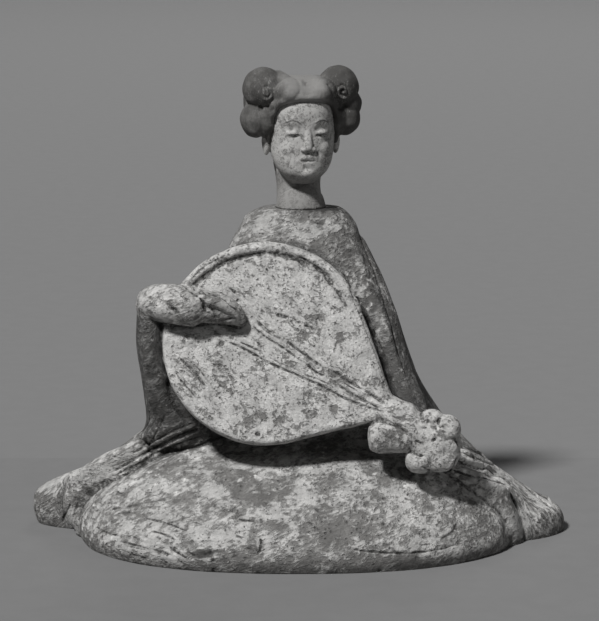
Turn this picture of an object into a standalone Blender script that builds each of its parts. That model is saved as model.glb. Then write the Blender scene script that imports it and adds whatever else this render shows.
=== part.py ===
"""Tomb musician: a kneeling figure in a wide robe that plays a pear-shaped lute, in painted earthenware.

Two pieces: the body, modelled as one with its lute, arms, sleeves and spread skirt, and the head,
which was made apart and sits on the body at the open seam round the neck.
X runs to the viewer's right, Y away from the viewer and Z up, in metres. The origin is on the
underside, below the neck. Left and right in names are the viewer's.
"""

import math

import bmesh
import bpy
import numpy as np
from mathutils import Matrix, Vector
from mathutils.bvhtree import BVHTree

# Driving dimensions, in metres
FIGURE_HEIGHT = 0.280
SEAM_GAP = 0.0003

# Every table below is in parts, of which the whole figure is 280 high
HEIGHT_IN_PARTS = 280.0
PART = FIGURE_HEIGHT / HEIGHT_IN_PARTS

# The neck's seat is cut flat on the body, and the head's neck stands on it
NECK_SEAT = 0.7 * HEIGHT_IN_PARTS
NECK_X = 1.0
HEAD_TURN = math.radians(12)

# Clay is fused on a grid this fine, softened, and then thinned to about this many triangles
BODY_GRID = 1.6
HEAD_GRID = 0.8
BODY_TRIANGLES = 6700
HEAD_TRIANGLES = 3000
BODY_SMOOTH_PASSES = 4
HEAD_SMOOTH_PASSES = 4
RING_POINTS = 64

# Robe and spread skirt: height, left, right, front, back, fullness of the slice
ROBE = (
    (-8, -125, 122, -102, 84, 2.35),
    (0, -131, 129, -107, 88, 2.35),
    (8, -133, 130.5, -109, 90, 2.35),
    (18, -131, 129, -105, 90, 2.25),
    (30, -125, 123, -95, 87, 2.15),
    (44, -114, 111, -79, 80, 2.1),
    (54, -101, 100, -64, 73, 2.1),
    (62, -90, 92, -48, 68, 2.1),
    (72, -78, 84, -39, 62, 2.1),
    (92, -64, 72, -38, 53, 2.1),
    (128, -52, 59, -40, 43, 2.2),
    (150, -46, 50, -38, 37, 2.3),
    (164, -44.5, 43.2, -34, 32, 2.4),
    (176, -40.5, 37.2, -27, 28, 2.5),
    (185, -35, 34, -21, 23, 2.6),
    (191, -31.5, 30, -17, 19, 2.6),
    (195, -24, 25.5, -14, 16, 2.4),
    (198, -17, 19, -13, 14, 2.2),
    (201, -15, 16, -12, 13, 2.0),
)

# Sleeve that hangs from the plucking arm and spreads into the left tail
LEFT_SLEEVE = (
    (-8, -152, -40, -8, 34, 2.0),
    (0, -160, -40, -11, 37, 2.0),
    (10, -163, -40, -12, 38, 2.0),
    (20, -160.5, -40, -12, 38, 2.0),
    (27, -150, -40, -14, 36, 2.0),
    (34, -133, -40, -19, 34, 2.0),
    (41, -116, -40, -26, 32, 2.0),
    (49, -103, -40, -33, 28, 2.1),
    (60, -94.5, -42, -42, 24, 2.2),
    (72, -91.5, -48, -48, 18, 2.4),
    (86, -92, -58, -52, 8, 2.6),
    (100, -93.5, -68, -54, -2, 2.6),
    (120, -96, -75, -56, -8, 2.5),
    (142, -95, -76, -58, -14, 2.4),
)

# Cloth that fills the space from that sleeve to the robe, behind the lute
SLEEVE_LINING = (
    (30, -104, -30, -22, 30, 2.2),
    (50, -92, -30, -32, 24, 2.2),
    (70, -86, -30, -40, 18, 2.3),
    (90, -86, -30, -42, 12, 2.4),
    (110, -87, -28, -42, 8, 2.4),
    (126, -84, -24, -38, 8, 2.3),
    (140, -70, -20, -28, 8, 2.1),
)

# Cloth that joins the robe to its two tails, each station a centre, a half width and a half thickness
SKIRT_JOINS = (
    (
        ((-124, -14, -6), 13, 10),
        ((-125, -14, 6), 15, 11),
        ((-130, -10, 16), 15, 13),
        ((-124, -12, 27), 15, 14),
        ((-109, -19, 39), 14, 13),
        ((-90, -28, 51), 11, 10),
    ),
    (
        ((121, -29, -6), 17, 13),
        ((120, -30, 8), 18, 13),
        ((113, -33, 22), 17, 13),
        ((103, -37, 35), 15, 13),
        ((92, -40, 48), 12, 12),
    ),
)

# Sleeve of the fingering arm, down to the right tail
RIGHT_SLEEVE = (
    (-8, 42, 155, -36, 30, 2.0),
    (0, 42, 160, -40, 33, 2.0),
    (8, 42, 160, -41, 34, 2.0),
    (14, 42, 156, -41, 34, 2.0),
    (20, 42, 145.5, -41, 33, 2.0),
    (28, 42, 133.5, -41, 32, 2.0),
    (37, 42, 120.5, -42, 31, 2.0),
    (46, 42, 108, -43, 30, 2.0),
    (56, 42, 96.5, -45, 28, 2.1),
    (70, 40, 85.5, -46, 26, 2.2),
    (84, 38, 77, -42, 24, 2.2),
    (98, 36, 69, -34, 22, 2.2),
    (118, 34, 62, -24, 20, 2.2),
)

# Arms, each station a centre, a half width and a half thickness
PLUCKING_ARM = (
    ((-24, 4, 166), 12, 12),
    ((-46, 6, 140), 14, 13),
    ((-68, -4, 128), 13, 13),
    ((-81, -26, 137), 12, 12),
    ((-84, -43, 145), 11, 11.5),
    ((-78, -55, 147.5), 11.4, 12.5),
    ((-69, -60.5, 147.5), 11.6, 11.5),
    ((-59.5, -61, 146), 11.2, 10.5),
)
PLUCKING_HAND = (
    ((-64, -58.5, 146.5), 10, 8.5),
    ((-54, -60.5, 146.5), 9.6, 8.4),
    ((-45, -61, 145), 8.8, 7.4),
    ((-38, -61, 141.5), 6.6, 6),
    ((-34, -60, 138.5), 4.2, 4.8),
)
FINGERING_ARM = (
    ((28, 2, 172), 11, 12),
    ((38, -17, 150), 12, 14),
    ((46, -31, 125), 13, 15),
    ((53, -41, 102), 13, 15),
    ((62, -54, 84), 12, 13),
    ((66, -68, 74), 10, 10),
)

# Lute: the middle of its face, its lean away from the viewer and the fall of its neck
LUTE_MIDDLE = Vector((-17.8, -61.0, 124.6))
LUTE_LEAN = math.radians(18)
LUTE_FALL = math.radians(28.5)
LUTE_RADIUS = 57.6
LUTE_TAIL_STRETCH = 1.09
LUTE_SHOULDER = math.radians(48)
# Rings of its bowl from back to face: depth behind the face, and how far the ring is drawn in
LUTE_BOWL = (
    (-30, 26),
    (-24, 10),
    (-16, 2),
    (-9, 0),
    (-2.6, 0.2),
    (-0.7, 0.9),
    (0, 2.4),
)
LUTE_NECK = (
    ((34, -62, 97), 10, 8),
    ((44, -65, 90), 10.5, 8),
    ((55, -69, 83), 11, 8.5),
    ((66, -72, 75), 12, 9),
    ((75, -73, 69), 12, 9),
)
RIM_ROLL_RADIUS = 4.0
RIM_ROLL_INSET = 1.25
RIM_ROLL_RISE = -0.3
RIM_ROLL_SWEEP = (math.radians(172), math.radians(-14))
RIM_ROLL_TAPER = 0.5

# Pegbox and the fingers round it: centre and radii
PEGBOX = (
    ((77, -72.5, 67.5), (16, 10, 15.5)),
    ((73, -73, 71.5), (12.5, 9, 11.5)),
    ((82.5, -73, 62.5), (10.5, 9, 10.5)),
    ((85, -74.5, 77.8), (8, 8, 8)),
    ((84.5, -73, 68), (8.2, 9, 10.5)),
    ((80.5, -74, 60.5), (8.8, 8, 8.6)),
    ((69, -75, 59.2), (8.2, 8, 7.8)),
    ((76.5, -73, 83), (6.6, 7, 6)),
    ((62, -71, 87), (5, 5.5, 4.4)),
)
PEG_BARREL = (((44.5, -74, 72), 9.4, 9.4), ((50, -73.5, 72.3), 9.6, 9.6), ((62, -73, 72.5), 9, 9))

# Head, before it is turned: the neck, and lumps as centre and radii
NECK = (
    ((0, 2, 190), 16, 16),
    ((0, 2.5, 197), 15, 15),
    ((0, 4, 201), 13.6, 13.6),
    ((0, 5.5, 210), 13.2, 13.4),
    ((0, 6, 222), 15, 15.5),
)
# Face and skull, and the hair over the crown and down the back, in the same columns as the robe
SKULL = (
    (211, -7, 7, -9, 8, 2.0),
    (215, -11, 11, -16.5, 10, 2.1),
    (219, -14.4, 14.4, -19.6, 12, 2.2),
    (224, -17, 17, -20.2, 14, 2.2),
    (229, -18.4, 18.4, -20.1, 17, 2.2),
    (235, -19, 19, -20, 20, 2.2),
    (241, -19.4, 19.4, -19.6, 22, 2.2),
    (248, -19, 19, -20, 24, 2.3),
    (255, -18.4, 18.4, -19.8, 25, 2.3),
    (262, -17, 17, -17, 24, 2.2),
    (268, -13, 13, -10, 20, 2.2),
)
CROWN_HAIR = (
    (258, -19, 19, -13, 27, 2.3),
    (260.5, -20.5, 20.5, -17.5, 28, 2.3),
    (263, -21, 21, -19.6, 28, 2.3),
    (266.5, -20.5, 20.5, -18.8, 28, 2.3),
    (270, -18.5, 18.5, -14.5, 25, 2.3),
    (272.8, -15, 15, -8, 20, 2.2),
    (274, -9, 9, -2, 13, 2.1),
)
BACK_HAIR = (
    (222, -9, 9, 6, 19, 2.1),
    (227, -14.5, 14.5, 2, 23.5, 2.2),
    (233, -18.5, 18.5, -1, 26.5, 2.3),
    (240, -20.6, 20.6, -5, 28, 2.4),
    (248, -21.4, 21.4, -9, 28.6, 2.4),
    (256, -21.6, 21.6, -13, 28.4, 2.4),
    (262, -21, 21, -16, 27.5, 2.4),
)
FACE_LUMPS = (
    ((0, -14.5, 219), (6, 6.6, 4.4)),
    ((7.8, -10.4, 233), (7.8, 8.4, 9)),
    ((2.6, -20.7, 232.6), (2.0, 2.2, 1.8)),
)
EARS = ((20.8, 1, 236.5), (2.7, 4.2, 9))
HAIR_BUNCHES = (
    ((22.5, 1, 267.3), (12.6, 13, 12.7)),
    ((26.8, 2, 249), (9.2, 11, 10.8)),
    ((23, 9, 258), (10, 12, 13)),
    ((9.5, -3, 266), (11, 16.5, 7.8)),
    ((21.5, -0.5, 249.5), (7.6, 9.5, 11.5)),
)
BUNCH_FILLS = (((27.6, 3, 257.5), (9.6, 11, 10)), ((-14.5, 1, 269), (9.5, 11, 8.6)))
# Roll of hair that frames the brow, from the middle down to one ear
HAIR_FRAME = (
    ((0, -17.6, 263.2), 3.8, 3.4),
    ((6, -17.2, 263), 3.8, 3.4),
    ((12, -15.4, 261), 3.8, 3.4),
    ((16.2, -12.6, 257), 3.8, 3.0),
    ((18.8, -9.2, 250), 4.0, 2.7),
    ((19.8, -5, 242), 4.0, 2.4),
    ((19.2, -1.5, 235), 3.2, 2.1),
)
NOSE = (
    ((0, -17.6, 246), 2.4, 2.6),
    ((0, -18.6, 240.5), 2.5, 2.6),
    ((0, -20.6, 235.6), 2.7, 2.7),
    ((0, -21.2, 233.2), 2.6, 2.9),
)

# Carving. Each line is seen from the front, as x and height, with a half width and a rise,
# which is below 0 for a groove
BODY_LINES = (
    (((-76, 76), (-96, 58), (-122, 42), (-148, 26)), 4.0, 4.2),
    (((-54, 66), (-84, 52), (-110, 38), (-132, 22), (-138, 8)), 3.2, -1.4),
    (((-60, 60), (-88, 45), (-112, 31), (-128, 17)), 3.0, 1.4),
    (((-88, 132), (-88, 106), (-84, 80)), 3.5, 2.2),
    (((-76, 104), (-74, 88), (-64, 72)), 3.0, -2.4),
    (((88, 56), (108, 46), (130, 29), (148, 16)), 3.2, -2.4),
    (((94, 47), (114, 37), (134, 22), (150, 10)), 3.2, 2.2),
    (((98, 42), (112, 34), (121, 18), (122, 5)), 4.0, -1.2),
    (((31, 180), (40, 153), (51, 128), (59, 104), (66, 84)), 4.0, 2.6),
    (((28, 160), (39, 134), (47, 112), (55, 90)), 3.2, -2.4),
    (((-97, 134), (-86, 132), (-76, 131)), 2.6, -1.8),
    (((-57, 158), (-55, 150), (-55.5, 140), (-57, 134)), 2.2, -2.0),
)
# Broad folds of the back, each seen from behind
BACK_LINES = (
    (((-22, 176), (-34, 130), (-52, 80), (-78, 24)), 6.0, -2.2),
    (((4, 160), (6, 110), (2, 60), (-6, 14)), 6.0, -1.8),
    (((24, 172), (40, 120), (62, 70), (92, 22)), 6.0, -2.2),
    (((-30, 96), (-44, 60), (-56, 26)), 5.0, 1.8),
    (((30, 100), (38, 60), (44, 24)), 5.0, 1.8),
)
LUTE_LINES = (
    (((-30, 136), (0, 119), (28, 104), (54, 90)), 2.4, 2.6),
    (((-40, 126), (-11, 110), (18, 98), (50, 85)), 2.4, 2.6),
)
# The groove between the lute's raised edge and its face, as angles from the neck
RIM_GROOVE = (math.radians(160), math.radians(12))
RIM_GROOVE_INSET = 8.0
RIM_GROOVE_DEPTH = 1.6
RIM_GROOVE_HALF_WIDTH = 2.2

# Carving of the head, before it is turned: lines in its middle, and lines that both sides have
HEAD_LINES = (
    (((0, 260), (-0.5, 266), (0, 273)), 2.4, -1.8),
    (((-4.6, 226), (0, 226.3), (4.6, 226)), 1.1, -0.8),
    (((-3.4, 228.2), (0, 228.5), (3.4, 228.2)), 1.3, 0.8),
    (((-3, 223.8), (0, 223.5), (3, 223.8)), 1.4, 0.9),
    (((-3, 220.8), (3, 220.8)), 1.4, -0.5),
)
HEAD_SIDE_LINES = (
    (((3.6, 243.4), (8, 245), (12.5, 243.4)), 2.4, -1.4),
    (((4.6, 241.6), (7.8, 242.6), (11, 241.4)), 1.5, 1.0),
    (((5.6, 231.2), (7.6, 228), (7.2, 225)), 1.2, -0.5),
    (((19, 271), (17.8, 266), (21.5, 262), (26, 264.5), (25, 269.5), (21.5, 269.5)), 1.8, 2.2),
    (((18, 256.5), (22, 255.5), (28, 257.5)), 2.0, -1.6),
)


def clear_scene():
    for leftover in list(bpy.data.objects):
        bpy.data.objects.remove(leftover)


def material(name, colour, roughness):
    made = bpy.data.materials.new(name)
    made.use_nodes = True
    shader = made.node_tree.nodes["Principled BSDF"]
    shader.inputs["Base Color"].default_value = (*colour, 1)
    shader.inputs["Roughness"].default_value = roughness
    shader.inputs["Metallic"].default_value = 0.0
    return made


def smooth_rows(rows, steps):
    """The rows of a table with `steps` rows from each one to the next, on a curve through them all."""
    rows = np.array(rows, float)
    padded = np.vstack((2 * rows[0] - rows[1], rows, 2 * rows[-1] - rows[-2]))
    filled = []
    for i in range(1, len(padded) - 2):
        before, start, end, after = padded[i - 1 : i + 3]
        for t in np.arange(steps) / steps:
            filled.append(
                start
                + 0.5 * t * (end - before)
                + t * t * (before - 2.5 * start + 2 * end - 0.5 * after)
                + t * t * t * (1.5 * start - 0.5 * before - 1.5 * end + 0.5 * after)
            )
    filled.append(rows[-1])
    return filled


def skin(clay, rings):
    """Adds a closed skin through the rings, which all have the same number of points."""
    loops = [[clay.verts.new(Vector(point) * PART) for point in ring] for ring in rings]
    faces = []
    for lower, upper in zip(loops, loops[1:]):
        for i in range(len(lower)):
            j = (i + 1) % len(lower)
            faces.append(clay.faces.new((lower[i], lower[j], upper[j], upper[i])))
    faces.append(clay.faces.new(loops[0][::-1]))
    faces.append(clay.faces.new(loops[-1]))
    bmesh.ops.recalc_face_normals(clay, faces=faces)


def slices(clay, table, place=None):
    """Adds a form from horizontal slices, each a rounded outline between its four sides."""
    rings = []
    for z, left, right, front, back, fullness in smooth_rows(table, 4):
        ring = []
        for turn in np.linspace(0, 2 * math.pi, RING_POINTS, endpoint=False):
            across, along = math.cos(turn), math.sin(turn)
            ring.append(
                (
                    (left + right) / 2
                    + (right - left) / 2 * math.copysign(abs(across) ** (2 / fullness), across),
                    (front + back) / 2
                    + (back - front) / 2 * math.copysign(abs(along) ** (2 / fullness), along),
                    z,
                )
            )
        rings.append(ring)
    if place:
        rings = [[place(point) for point in ring] for ring in rings]
    skin(clay, rings)


def sweep(clay, stations, upright=(0, 0, 1), place=None, points=20):
    """Adds a round-ended limb along the stations, its half width along `upright`, its thickness across."""
    rows = smooth_rows([(*centre, wide, thick) for centre, wide, thick in stations], 5)
    centres = [Vector(row[:3]) for row in rows]
    rings = []
    for i, row in enumerate(rows):
        along = (centres[min(i + 1, len(rows) - 1)] - centres[max(i - 1, 0)]).normalized()
        side = along.cross(Vector(upright)).normalized()
        rise = side.cross(along).normalized()
        ends = {0: (-0.7, 0.7), len(rows) - 1: (0.7, 0.7)}
        ring = [
            centres[i] + rise * (row[3] * math.cos(turn)) + side * (row[4] * math.sin(turn))
            for turn in np.linspace(0, 2 * math.pi, points, endpoint=False)
        ]
        if i in ends:
            shift, shrink = ends[i]
            cap = [
                centres[i] + (point - centres[i]) * shrink + along * (row[4] * shift * 0.7)
                for point in ring
            ]
        if i == 0:
            rings.append(cap)
        rings.append(ring)
        if i == len(rows) - 1:
            rings.append(cap)
    if place:
        rings = [[place(point) for point in ring] for ring in rings]
    skin(clay, rings)


def ball(clay, centre, radii, place=None):
    """Adds an ellipsoid."""
    rings = []
    for rise in np.linspace(-0.5, 0.5, 13)[1:-1] * math.pi:
        rings.append(
            [
                Vector(centre)
                + Vector(
                    (
                        radii[0] * math.cos(rise) * math.cos(turn),
                        radii[1] * math.cos(rise) * math.sin(turn),
                        radii[2] * math.sin(rise),
                    )
                )
                for turn in np.linspace(0, 2 * math.pi, 24, endpoint=False)
            ]
        )
    if place:
        rings = [[place(point) for point in ring] for ring in rings]
    skin(clay, rings)


def on_lute(point):
    """A point of the lute's own frame: along its neck, across it, and out of its face."""
    along, across, out = point
    turned = Matrix.Rotation(-LUTE_FALL, 2) @ Vector((along, across))
    lean = Matrix.Rotation(-LUTE_LEAN, 3, "X")
    return LUTE_MIDDLE + lean @ Vector((turned.x, -out, turned.y))


def lute_reach(turn):
    """How far the lute's outline is from its middle, at an angle from its neck."""
    turn = abs((turn + math.pi) % (2 * math.pi) - math.pi)
    if turn < LUTE_SHOULDER:
        return LUTE_RADIUS / math.cos(LUTE_SHOULDER - turn)
    past = (turn - LUTE_SHOULDER) / (math.pi - LUTE_SHOULDER)
    return LUTE_RADIUS * (1 + (LUTE_TAIL_STRETCH - 1) * past)


def lute(clay):
    """The bowl with its flat face, the raised roll round the face's upper edge, and the neck."""
    turns = np.linspace(0, 2 * math.pi, 96, endpoint=False)
    rings = []
    for out, inset in LUTE_BOWL:
        ring = []
        for turn in turns:
            reach = lute_reach(turn) - inset
            ring.append(on_lute((reach * math.cos(turn), reach * math.sin(turn), out)))
        rings.append(ring)
    skin(clay, rings)
    roll = []
    for share in np.linspace(0, 1, 30):
        turn = LUTE_FALL + RIM_ROLL_SWEEP[0] + (RIM_ROLL_SWEEP[1] - RIM_ROLL_SWEEP[0]) * share
        radius = RIM_ROLL_RADIUS * (1 - RIM_ROLL_TAPER * (2 * share - 1) ** 2)
        reach = lute_reach(turn) - radius * RIM_ROLL_INSET
        middle = on_lute((reach * math.cos(turn), reach * math.sin(turn), radius * RIM_ROLL_RISE))
        roll.append((middle, radius, radius))
    sweep(clay, roll, upright=(0, -1, 0), points=12)
    sweep(clay, LUTE_NECK)


def rim_groove():
    """The groove inside the rim roll, as a line seen from the front."""
    line = []
    for turn in np.linspace(*RIM_GROOVE, 12):
        reach = lute_reach(turn + LUTE_FALL) - RIM_GROOVE_INSET
        middle = on_lute((reach * math.cos(turn + LUTE_FALL), reach * math.sin(turn + LUTE_FALL), 0))
        line.append((middle.x, middle.z))
    return line, RIM_GROOVE_HALF_WIDTH, -RIM_GROOVE_DEPTH


def mirrored(lines):
    """The lines and their images on the other side of the face."""
    return [
        ([(side * x, z) for x, z in line], half_width, rise)
        for line, half_width, rise in lines
        for side in (-1, 1)
    ]


def from_behind(point):
    return Vector((-point[0], -point[1], point[2]))


def head_place(point):
    """A point of the head, turned with it about the neck."""
    return Matrix.Rotation(HEAD_TURN, 3, "Z") @ Vector(point) + Vector((NECK_X, 0, 0))


def fused(name, clay, grid, smooth_passes):
    """The clay's lumps as one skin, softened where they meet."""
    mesh = bpy.data.meshes.new(name + "_lumps")
    clay.to_mesh(mesh)
    clay.free()
    lumps = bpy.data.objects.new(name + "_lumps", mesh)
    bpy.context.scene.collection.objects.link(lumps)
    remesh = lumps.modifiers.new("Fuse", "REMESH")
    remesh.mode = "VOXEL"
    remesh.voxel_size = grid * PART
    remesh.use_smooth_shade = True
    soften = lumps.modifiers.new("Soften", "SMOOTH")
    soften.factor = 0.5
    soften.iterations = round(smooth_passes)
    graph = bpy.context.evaluated_depsgraph_get()
    skin_mesh = bpy.data.meshes.new_from_object(lumps.evaluated_get(graph))
    skin_mesh.name = name
    bpy.data.objects.remove(lumps)
    piece = bpy.data.objects.new(name, skin_mesh)
    bpy.context.scene.collection.objects.link(piece)
    return piece


def points_of(mesh):
    points = np.empty(len(mesh.vertices) * 3, np.float32)
    mesh.vertices.foreach_get("co", points)
    return points.reshape(-1, 3).astype(float)


def normals_of(mesh):
    normals = np.empty(len(mesh.vertices) * 3, np.float32)
    mesh.vertex_normals.foreach_get("vector", normals)
    return normals.reshape(-1, 3).astype(float)


def laid_on_front(surface, line, step, place):
    """The line as seen from the front, laid on the first surface behind it."""
    laid = []
    for x, z in smooth_rows(line, 8):
        start = place((x, -HEIGHT_IN_PARTS, z)) * PART
        ahead = (place((x, 0, z)) * PART - start).normalized()
        hit = surface.ray_cast(start, ahead)[0]
        if hit is not None and (not laid or (hit - laid[-1]).length > step * PART):
            laid.append(hit)
    return np.array(laid)


def carve(piece, lines, step=2.0, place=Vector):
    """Raises a ridge or cuts a groove along each line, fading at its ends."""
    mesh = piece.data
    points, normals = points_of(mesh), normals_of(mesh)
    surface = BVHTree.FromObject(piece, bpy.context.evaluated_depsgraph_get())
    shift = np.zeros(len(points))
    for line, half_width, height in lines:
        laid = laid_on_front(surface, line, step, place)
        nearest = np.full(len(points), np.inf)
        share = np.zeros(len(points))
        for i, (start, end) in enumerate(zip(laid, laid[1:])):
            run = end - start
            t = np.clip((points - start) @ run / (run @ run), 0, 1)
            gap = np.linalg.norm(points - start - t[:, None] * run, axis=1)
            closer = gap < nearest
            nearest[closer] = gap[closer]
            share[closer] = (i + t[closer]) / (len(laid) - 1)
        fade = np.clip(np.minimum(share, 1 - share) * 6, 0, 1)
        shift += height * PART * fade * np.exp(-((nearest / (half_width * PART)) ** 2))
    points += normals * shift[:, None]
    mesh.vertices.foreach_set("co", points.astype(np.float32).ravel())
    mesh.update()


def thin_out(piece, triangles):
    """Leaves the piece about this many triangles."""
    reduce = piece.modifiers.new("Thin", "DECIMATE")
    reduce.ratio = triangles / (2 * len(piece.data.polygons))
    reduce.use_collapse_triangulate = True


def cut_flat(piece, level, keep_above):
    """Cuts the piece flat at this height and keeps one side of it."""
    reach = 2 * HEIGHT_IN_PARTS * PART
    mesh = bpy.data.meshes.new(piece.name + "_cutter")
    block = bmesh.new()
    bmesh.ops.create_cube(block, size=reach)
    bmesh.ops.translate(
        block, verts=block.verts, vec=(0, 0, level + (-reach if keep_above else reach) / 2)
    )
    block.to_mesh(mesh)
    block.free()
    cutter = bpy.data.objects.new(piece.name + "_cutter", mesh)
    cutter.hide_render = True
    cutter.display_type = "WIRE"
    bpy.context.scene.collection.objects.link(cutter)
    cut = piece.modifiers.new("Cut", "BOOLEAN")
    cut.operation = "DIFFERENCE"
    cut.object = cutter


def finish(piece, clay_material):
    piece.data.materials.clear()
    piece.data.materials.append(clay_material)
    piece.data.shade_smooth()


def make_body():
    clay = bmesh.new()
    slices(clay, ROBE)
    for stations in SKIRT_JOINS:
        sweep(clay, stations, upright=(0, -1, 0))
    for table in (LEFT_SLEEVE, SLEEVE_LINING, RIGHT_SLEEVE):
        slices(clay, table)
    sweep(clay, PLUCKING_ARM)
    sweep(clay, PLUCKING_HAND)
    sweep(clay, FINGERING_ARM)
    lute(clay)
    for centre, radii in PEGBOX:
        ball(clay, centre, radii)
    sweep(clay, PEG_BARREL)
    body = fused("body_with_lute", clay, BODY_GRID, BODY_SMOOTH_PASSES)
    carve(body, (*BODY_LINES, *LUTE_LINES, rim_groove()))
    carve(body, BACK_LINES, place=from_behind)
    thin_out(body, BODY_TRIANGLES)
    cut_flat(body, 0, keep_above=True)
    cut_flat(body, NECK_SEAT * PART, keep_above=False)
    finish(body, material("painted_clay", (0.36, 0.35, 0.33), 0.9))


def make_head():
    clay = bmesh.new()
    sweep(clay, NECK, upright=(1, 0, 0), place=head_place, points=28)
    for table in (SKULL, CROWN_HAIR, BACK_HAIR):
        slices(clay, table, place=head_place)
    for side in (-1, 1):
        for (x, y, z), radii in (*FACE_LUMPS, EARS, *HAIR_BUNCHES):
            ball(clay, (side * x, y, z), radii, place=head_place)
    for centre, radii in BUNCH_FILLS:
        ball(clay, centre, radii, place=head_place)
    frame_of_hair = [((-x, y, z), wide, thick) for (x, y, z), wide, thick in HAIR_FRAME[:0:-1]]
    sweep(clay, (*frame_of_hair, *HAIR_FRAME), upright=(0, 1, 0), place=head_place)
    sweep(clay, NOSE, upright=(0, 1, 0), place=head_place)
    head = fused("head", clay, HEAD_GRID, HEAD_SMOOTH_PASSES)
    carve(head, (*HEAD_LINES, *mirrored(HEAD_SIDE_LINES)), step=1.0, place=head_place)
    thin_out(head, HEAD_TRIANGLES)
    cut_flat(head, NECK_SEAT * PART + SEAM_GAP, keep_above=True)
    finish(head, material("face_slip", (0.42, 0.41, 0.39), 0.88))


clear_scene()
make_body()
make_head()
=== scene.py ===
"""Looks of the tomb musician: worn painted earthenware, a body with its lute and a separate head.

Both pieces are modelled again from the lumps of clay that the solids are made of, on a finer grid, with the
carving, the scratches and the worn slip that show from close by. X runs to the viewer's right, Y away from
the viewer and Z up, in metres. Left and right in names are the viewer's.
"""

import math

import bmesh
import bpy
import numpy as np
from mathutils import Matrix, Vector
from mathutils.bvhtree import BVHTree


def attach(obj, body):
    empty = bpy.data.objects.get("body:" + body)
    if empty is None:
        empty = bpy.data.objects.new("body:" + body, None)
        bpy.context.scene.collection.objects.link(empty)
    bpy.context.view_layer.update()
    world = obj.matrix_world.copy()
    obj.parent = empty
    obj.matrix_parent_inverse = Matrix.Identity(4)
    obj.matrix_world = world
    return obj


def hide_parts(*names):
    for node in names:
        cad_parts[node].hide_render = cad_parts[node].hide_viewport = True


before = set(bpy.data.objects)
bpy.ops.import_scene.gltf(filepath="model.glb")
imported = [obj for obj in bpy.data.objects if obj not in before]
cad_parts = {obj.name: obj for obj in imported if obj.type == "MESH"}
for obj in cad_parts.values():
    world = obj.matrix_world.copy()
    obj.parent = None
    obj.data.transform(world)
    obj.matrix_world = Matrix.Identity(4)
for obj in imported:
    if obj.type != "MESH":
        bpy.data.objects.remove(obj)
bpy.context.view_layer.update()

# The tables of the figure's forms are in parts of its height
FIGURE_HEIGHT = 0.280
HEIGHT_IN_PARTS = 280.0
PART = FIGURE_HEIGHT / HEIGHT_IN_PARTS
SEAM_GAP = 0.0003
NECK_SEAT = 196.0
NECK_X = 1.0
HEAD_TURN = math.radians(12)

# The clay's grid and softening, and the most triangles that each piece keeps
BODY_GRID = 0.85
HEAD_GRID = 0.42
BODY_TRIANGLES = 190000
HEAD_TRIANGLES = 120000
BODY_SMOOTH_PASSES = 8
HEAD_SMOOTH_PASSES = 7

# Points round the lumps of clay, and rows filled in from one row of a table or of a line to the next
RING_POINTS = 96
LUTE_POINTS = 144
LIMB_POINTS = 32
ROLL_POINTS = 20
BALL_POINTS = 36
BALL_RINGS = 19
FORM_STEPS = 6
LINE_STEPS = 8
# A limb's round end: how far it reaches out, in half thicknesses, and how much narrower it is
END_REACH = 0.49
END_SHRINK = 0.7

# How much of a carved line is left: the mean, the spread and the limits, and the noise's cell and seed
LINE_LEFT = 0.75
LINE_LEFT_SPREAD = 0.9
LINE_LEFT_LIMITS = (0.15, 1.25)
WEAR_LENGTH = 5.0
WEAR_SEED = 11
# Spacing of a line laid on the clay, and how far its mark reaches, in its half widths
LAID_SPACING = 0.6
MARK_REACH = 3
# Share of its neighbours that a point takes at each softening, and the passes that find hollows
SOFTENING = 0.6
HOLLOWS = (("hollow_fine", 6), ("hollow_broad", 40))
# Random unevenness: its rise and its cell in parts, and its seed
BODY_KNOTS = ((0.35, 16, 3), (0.16, 6, 4))
PEGBOX_KNOTS = ((0.5, 4.2, 9),)
HEAD_KNOTS = ((0.12, 7, 5), (0.05, 2.2, 6))
HAIR_KNOTS = ((0.45, 4.5, 8),)
# Where the hair's unevenness starts, out to each side and up, and how far it takes to be full
HAIR_KNOTS_SIDE = 17
HAIR_KNOTS_TOP = 265
HAIR_KNOTS_FADE = 3

# The photograph's frame in pixels, and the camera that gives its view
PHOTO_WIDTH = 599
PHOTO_HEIGHT = 621
LENS_IN_PIXELS = 2667.0
SENSOR = 36.0
CAMERA_DISTANCE = 1.6
CAMERA_RISE = math.radians(10)
CAMERA_AIM = Vector((0, 0, 0.1335))
PIXEL = 0.00058

# Robe and spread skirt: height, left, right, front, back, fullness of the slice
ROBE = (
    (-8, -125, 122, -102, 84, 2.35),
    (0, -131, 129, -107, 88, 2.35),
    (8, -133, 130.5, -109, 90, 2.35),
    (18, -131, 129, -105, 90, 2.25),
    (30, -125, 123, -95, 87, 2.15),
    (44, -114, 111, -79, 80, 2.1),
    (54, -101, 100, -64, 73, 2.1),
    (62, -90, 92, -48, 68, 2.1),
    (72, -78, 84, -39, 62, 2.1),
    (92, -64, 72, -38, 53, 2.1),
    (128, -52, 59, -40, 43, 2.2),
    (150, -46, 50, -38, 37, 2.3),
    (164, -44.5, 43.2, -34, 32, 2.4),
    (176, -40.5, 37.2, -27, 28, 2.5),
    (185, -35, 34, -21, 23, 2.6),
    (191, -31.5, 30, -17, 19, 2.6),
    (195, -24, 25.5, -14, 16, 2.4),
    (198, -17, 19, -13, 14, 2.2),
    (201, -15, 16, -12, 13, 2.0),
)

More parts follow.
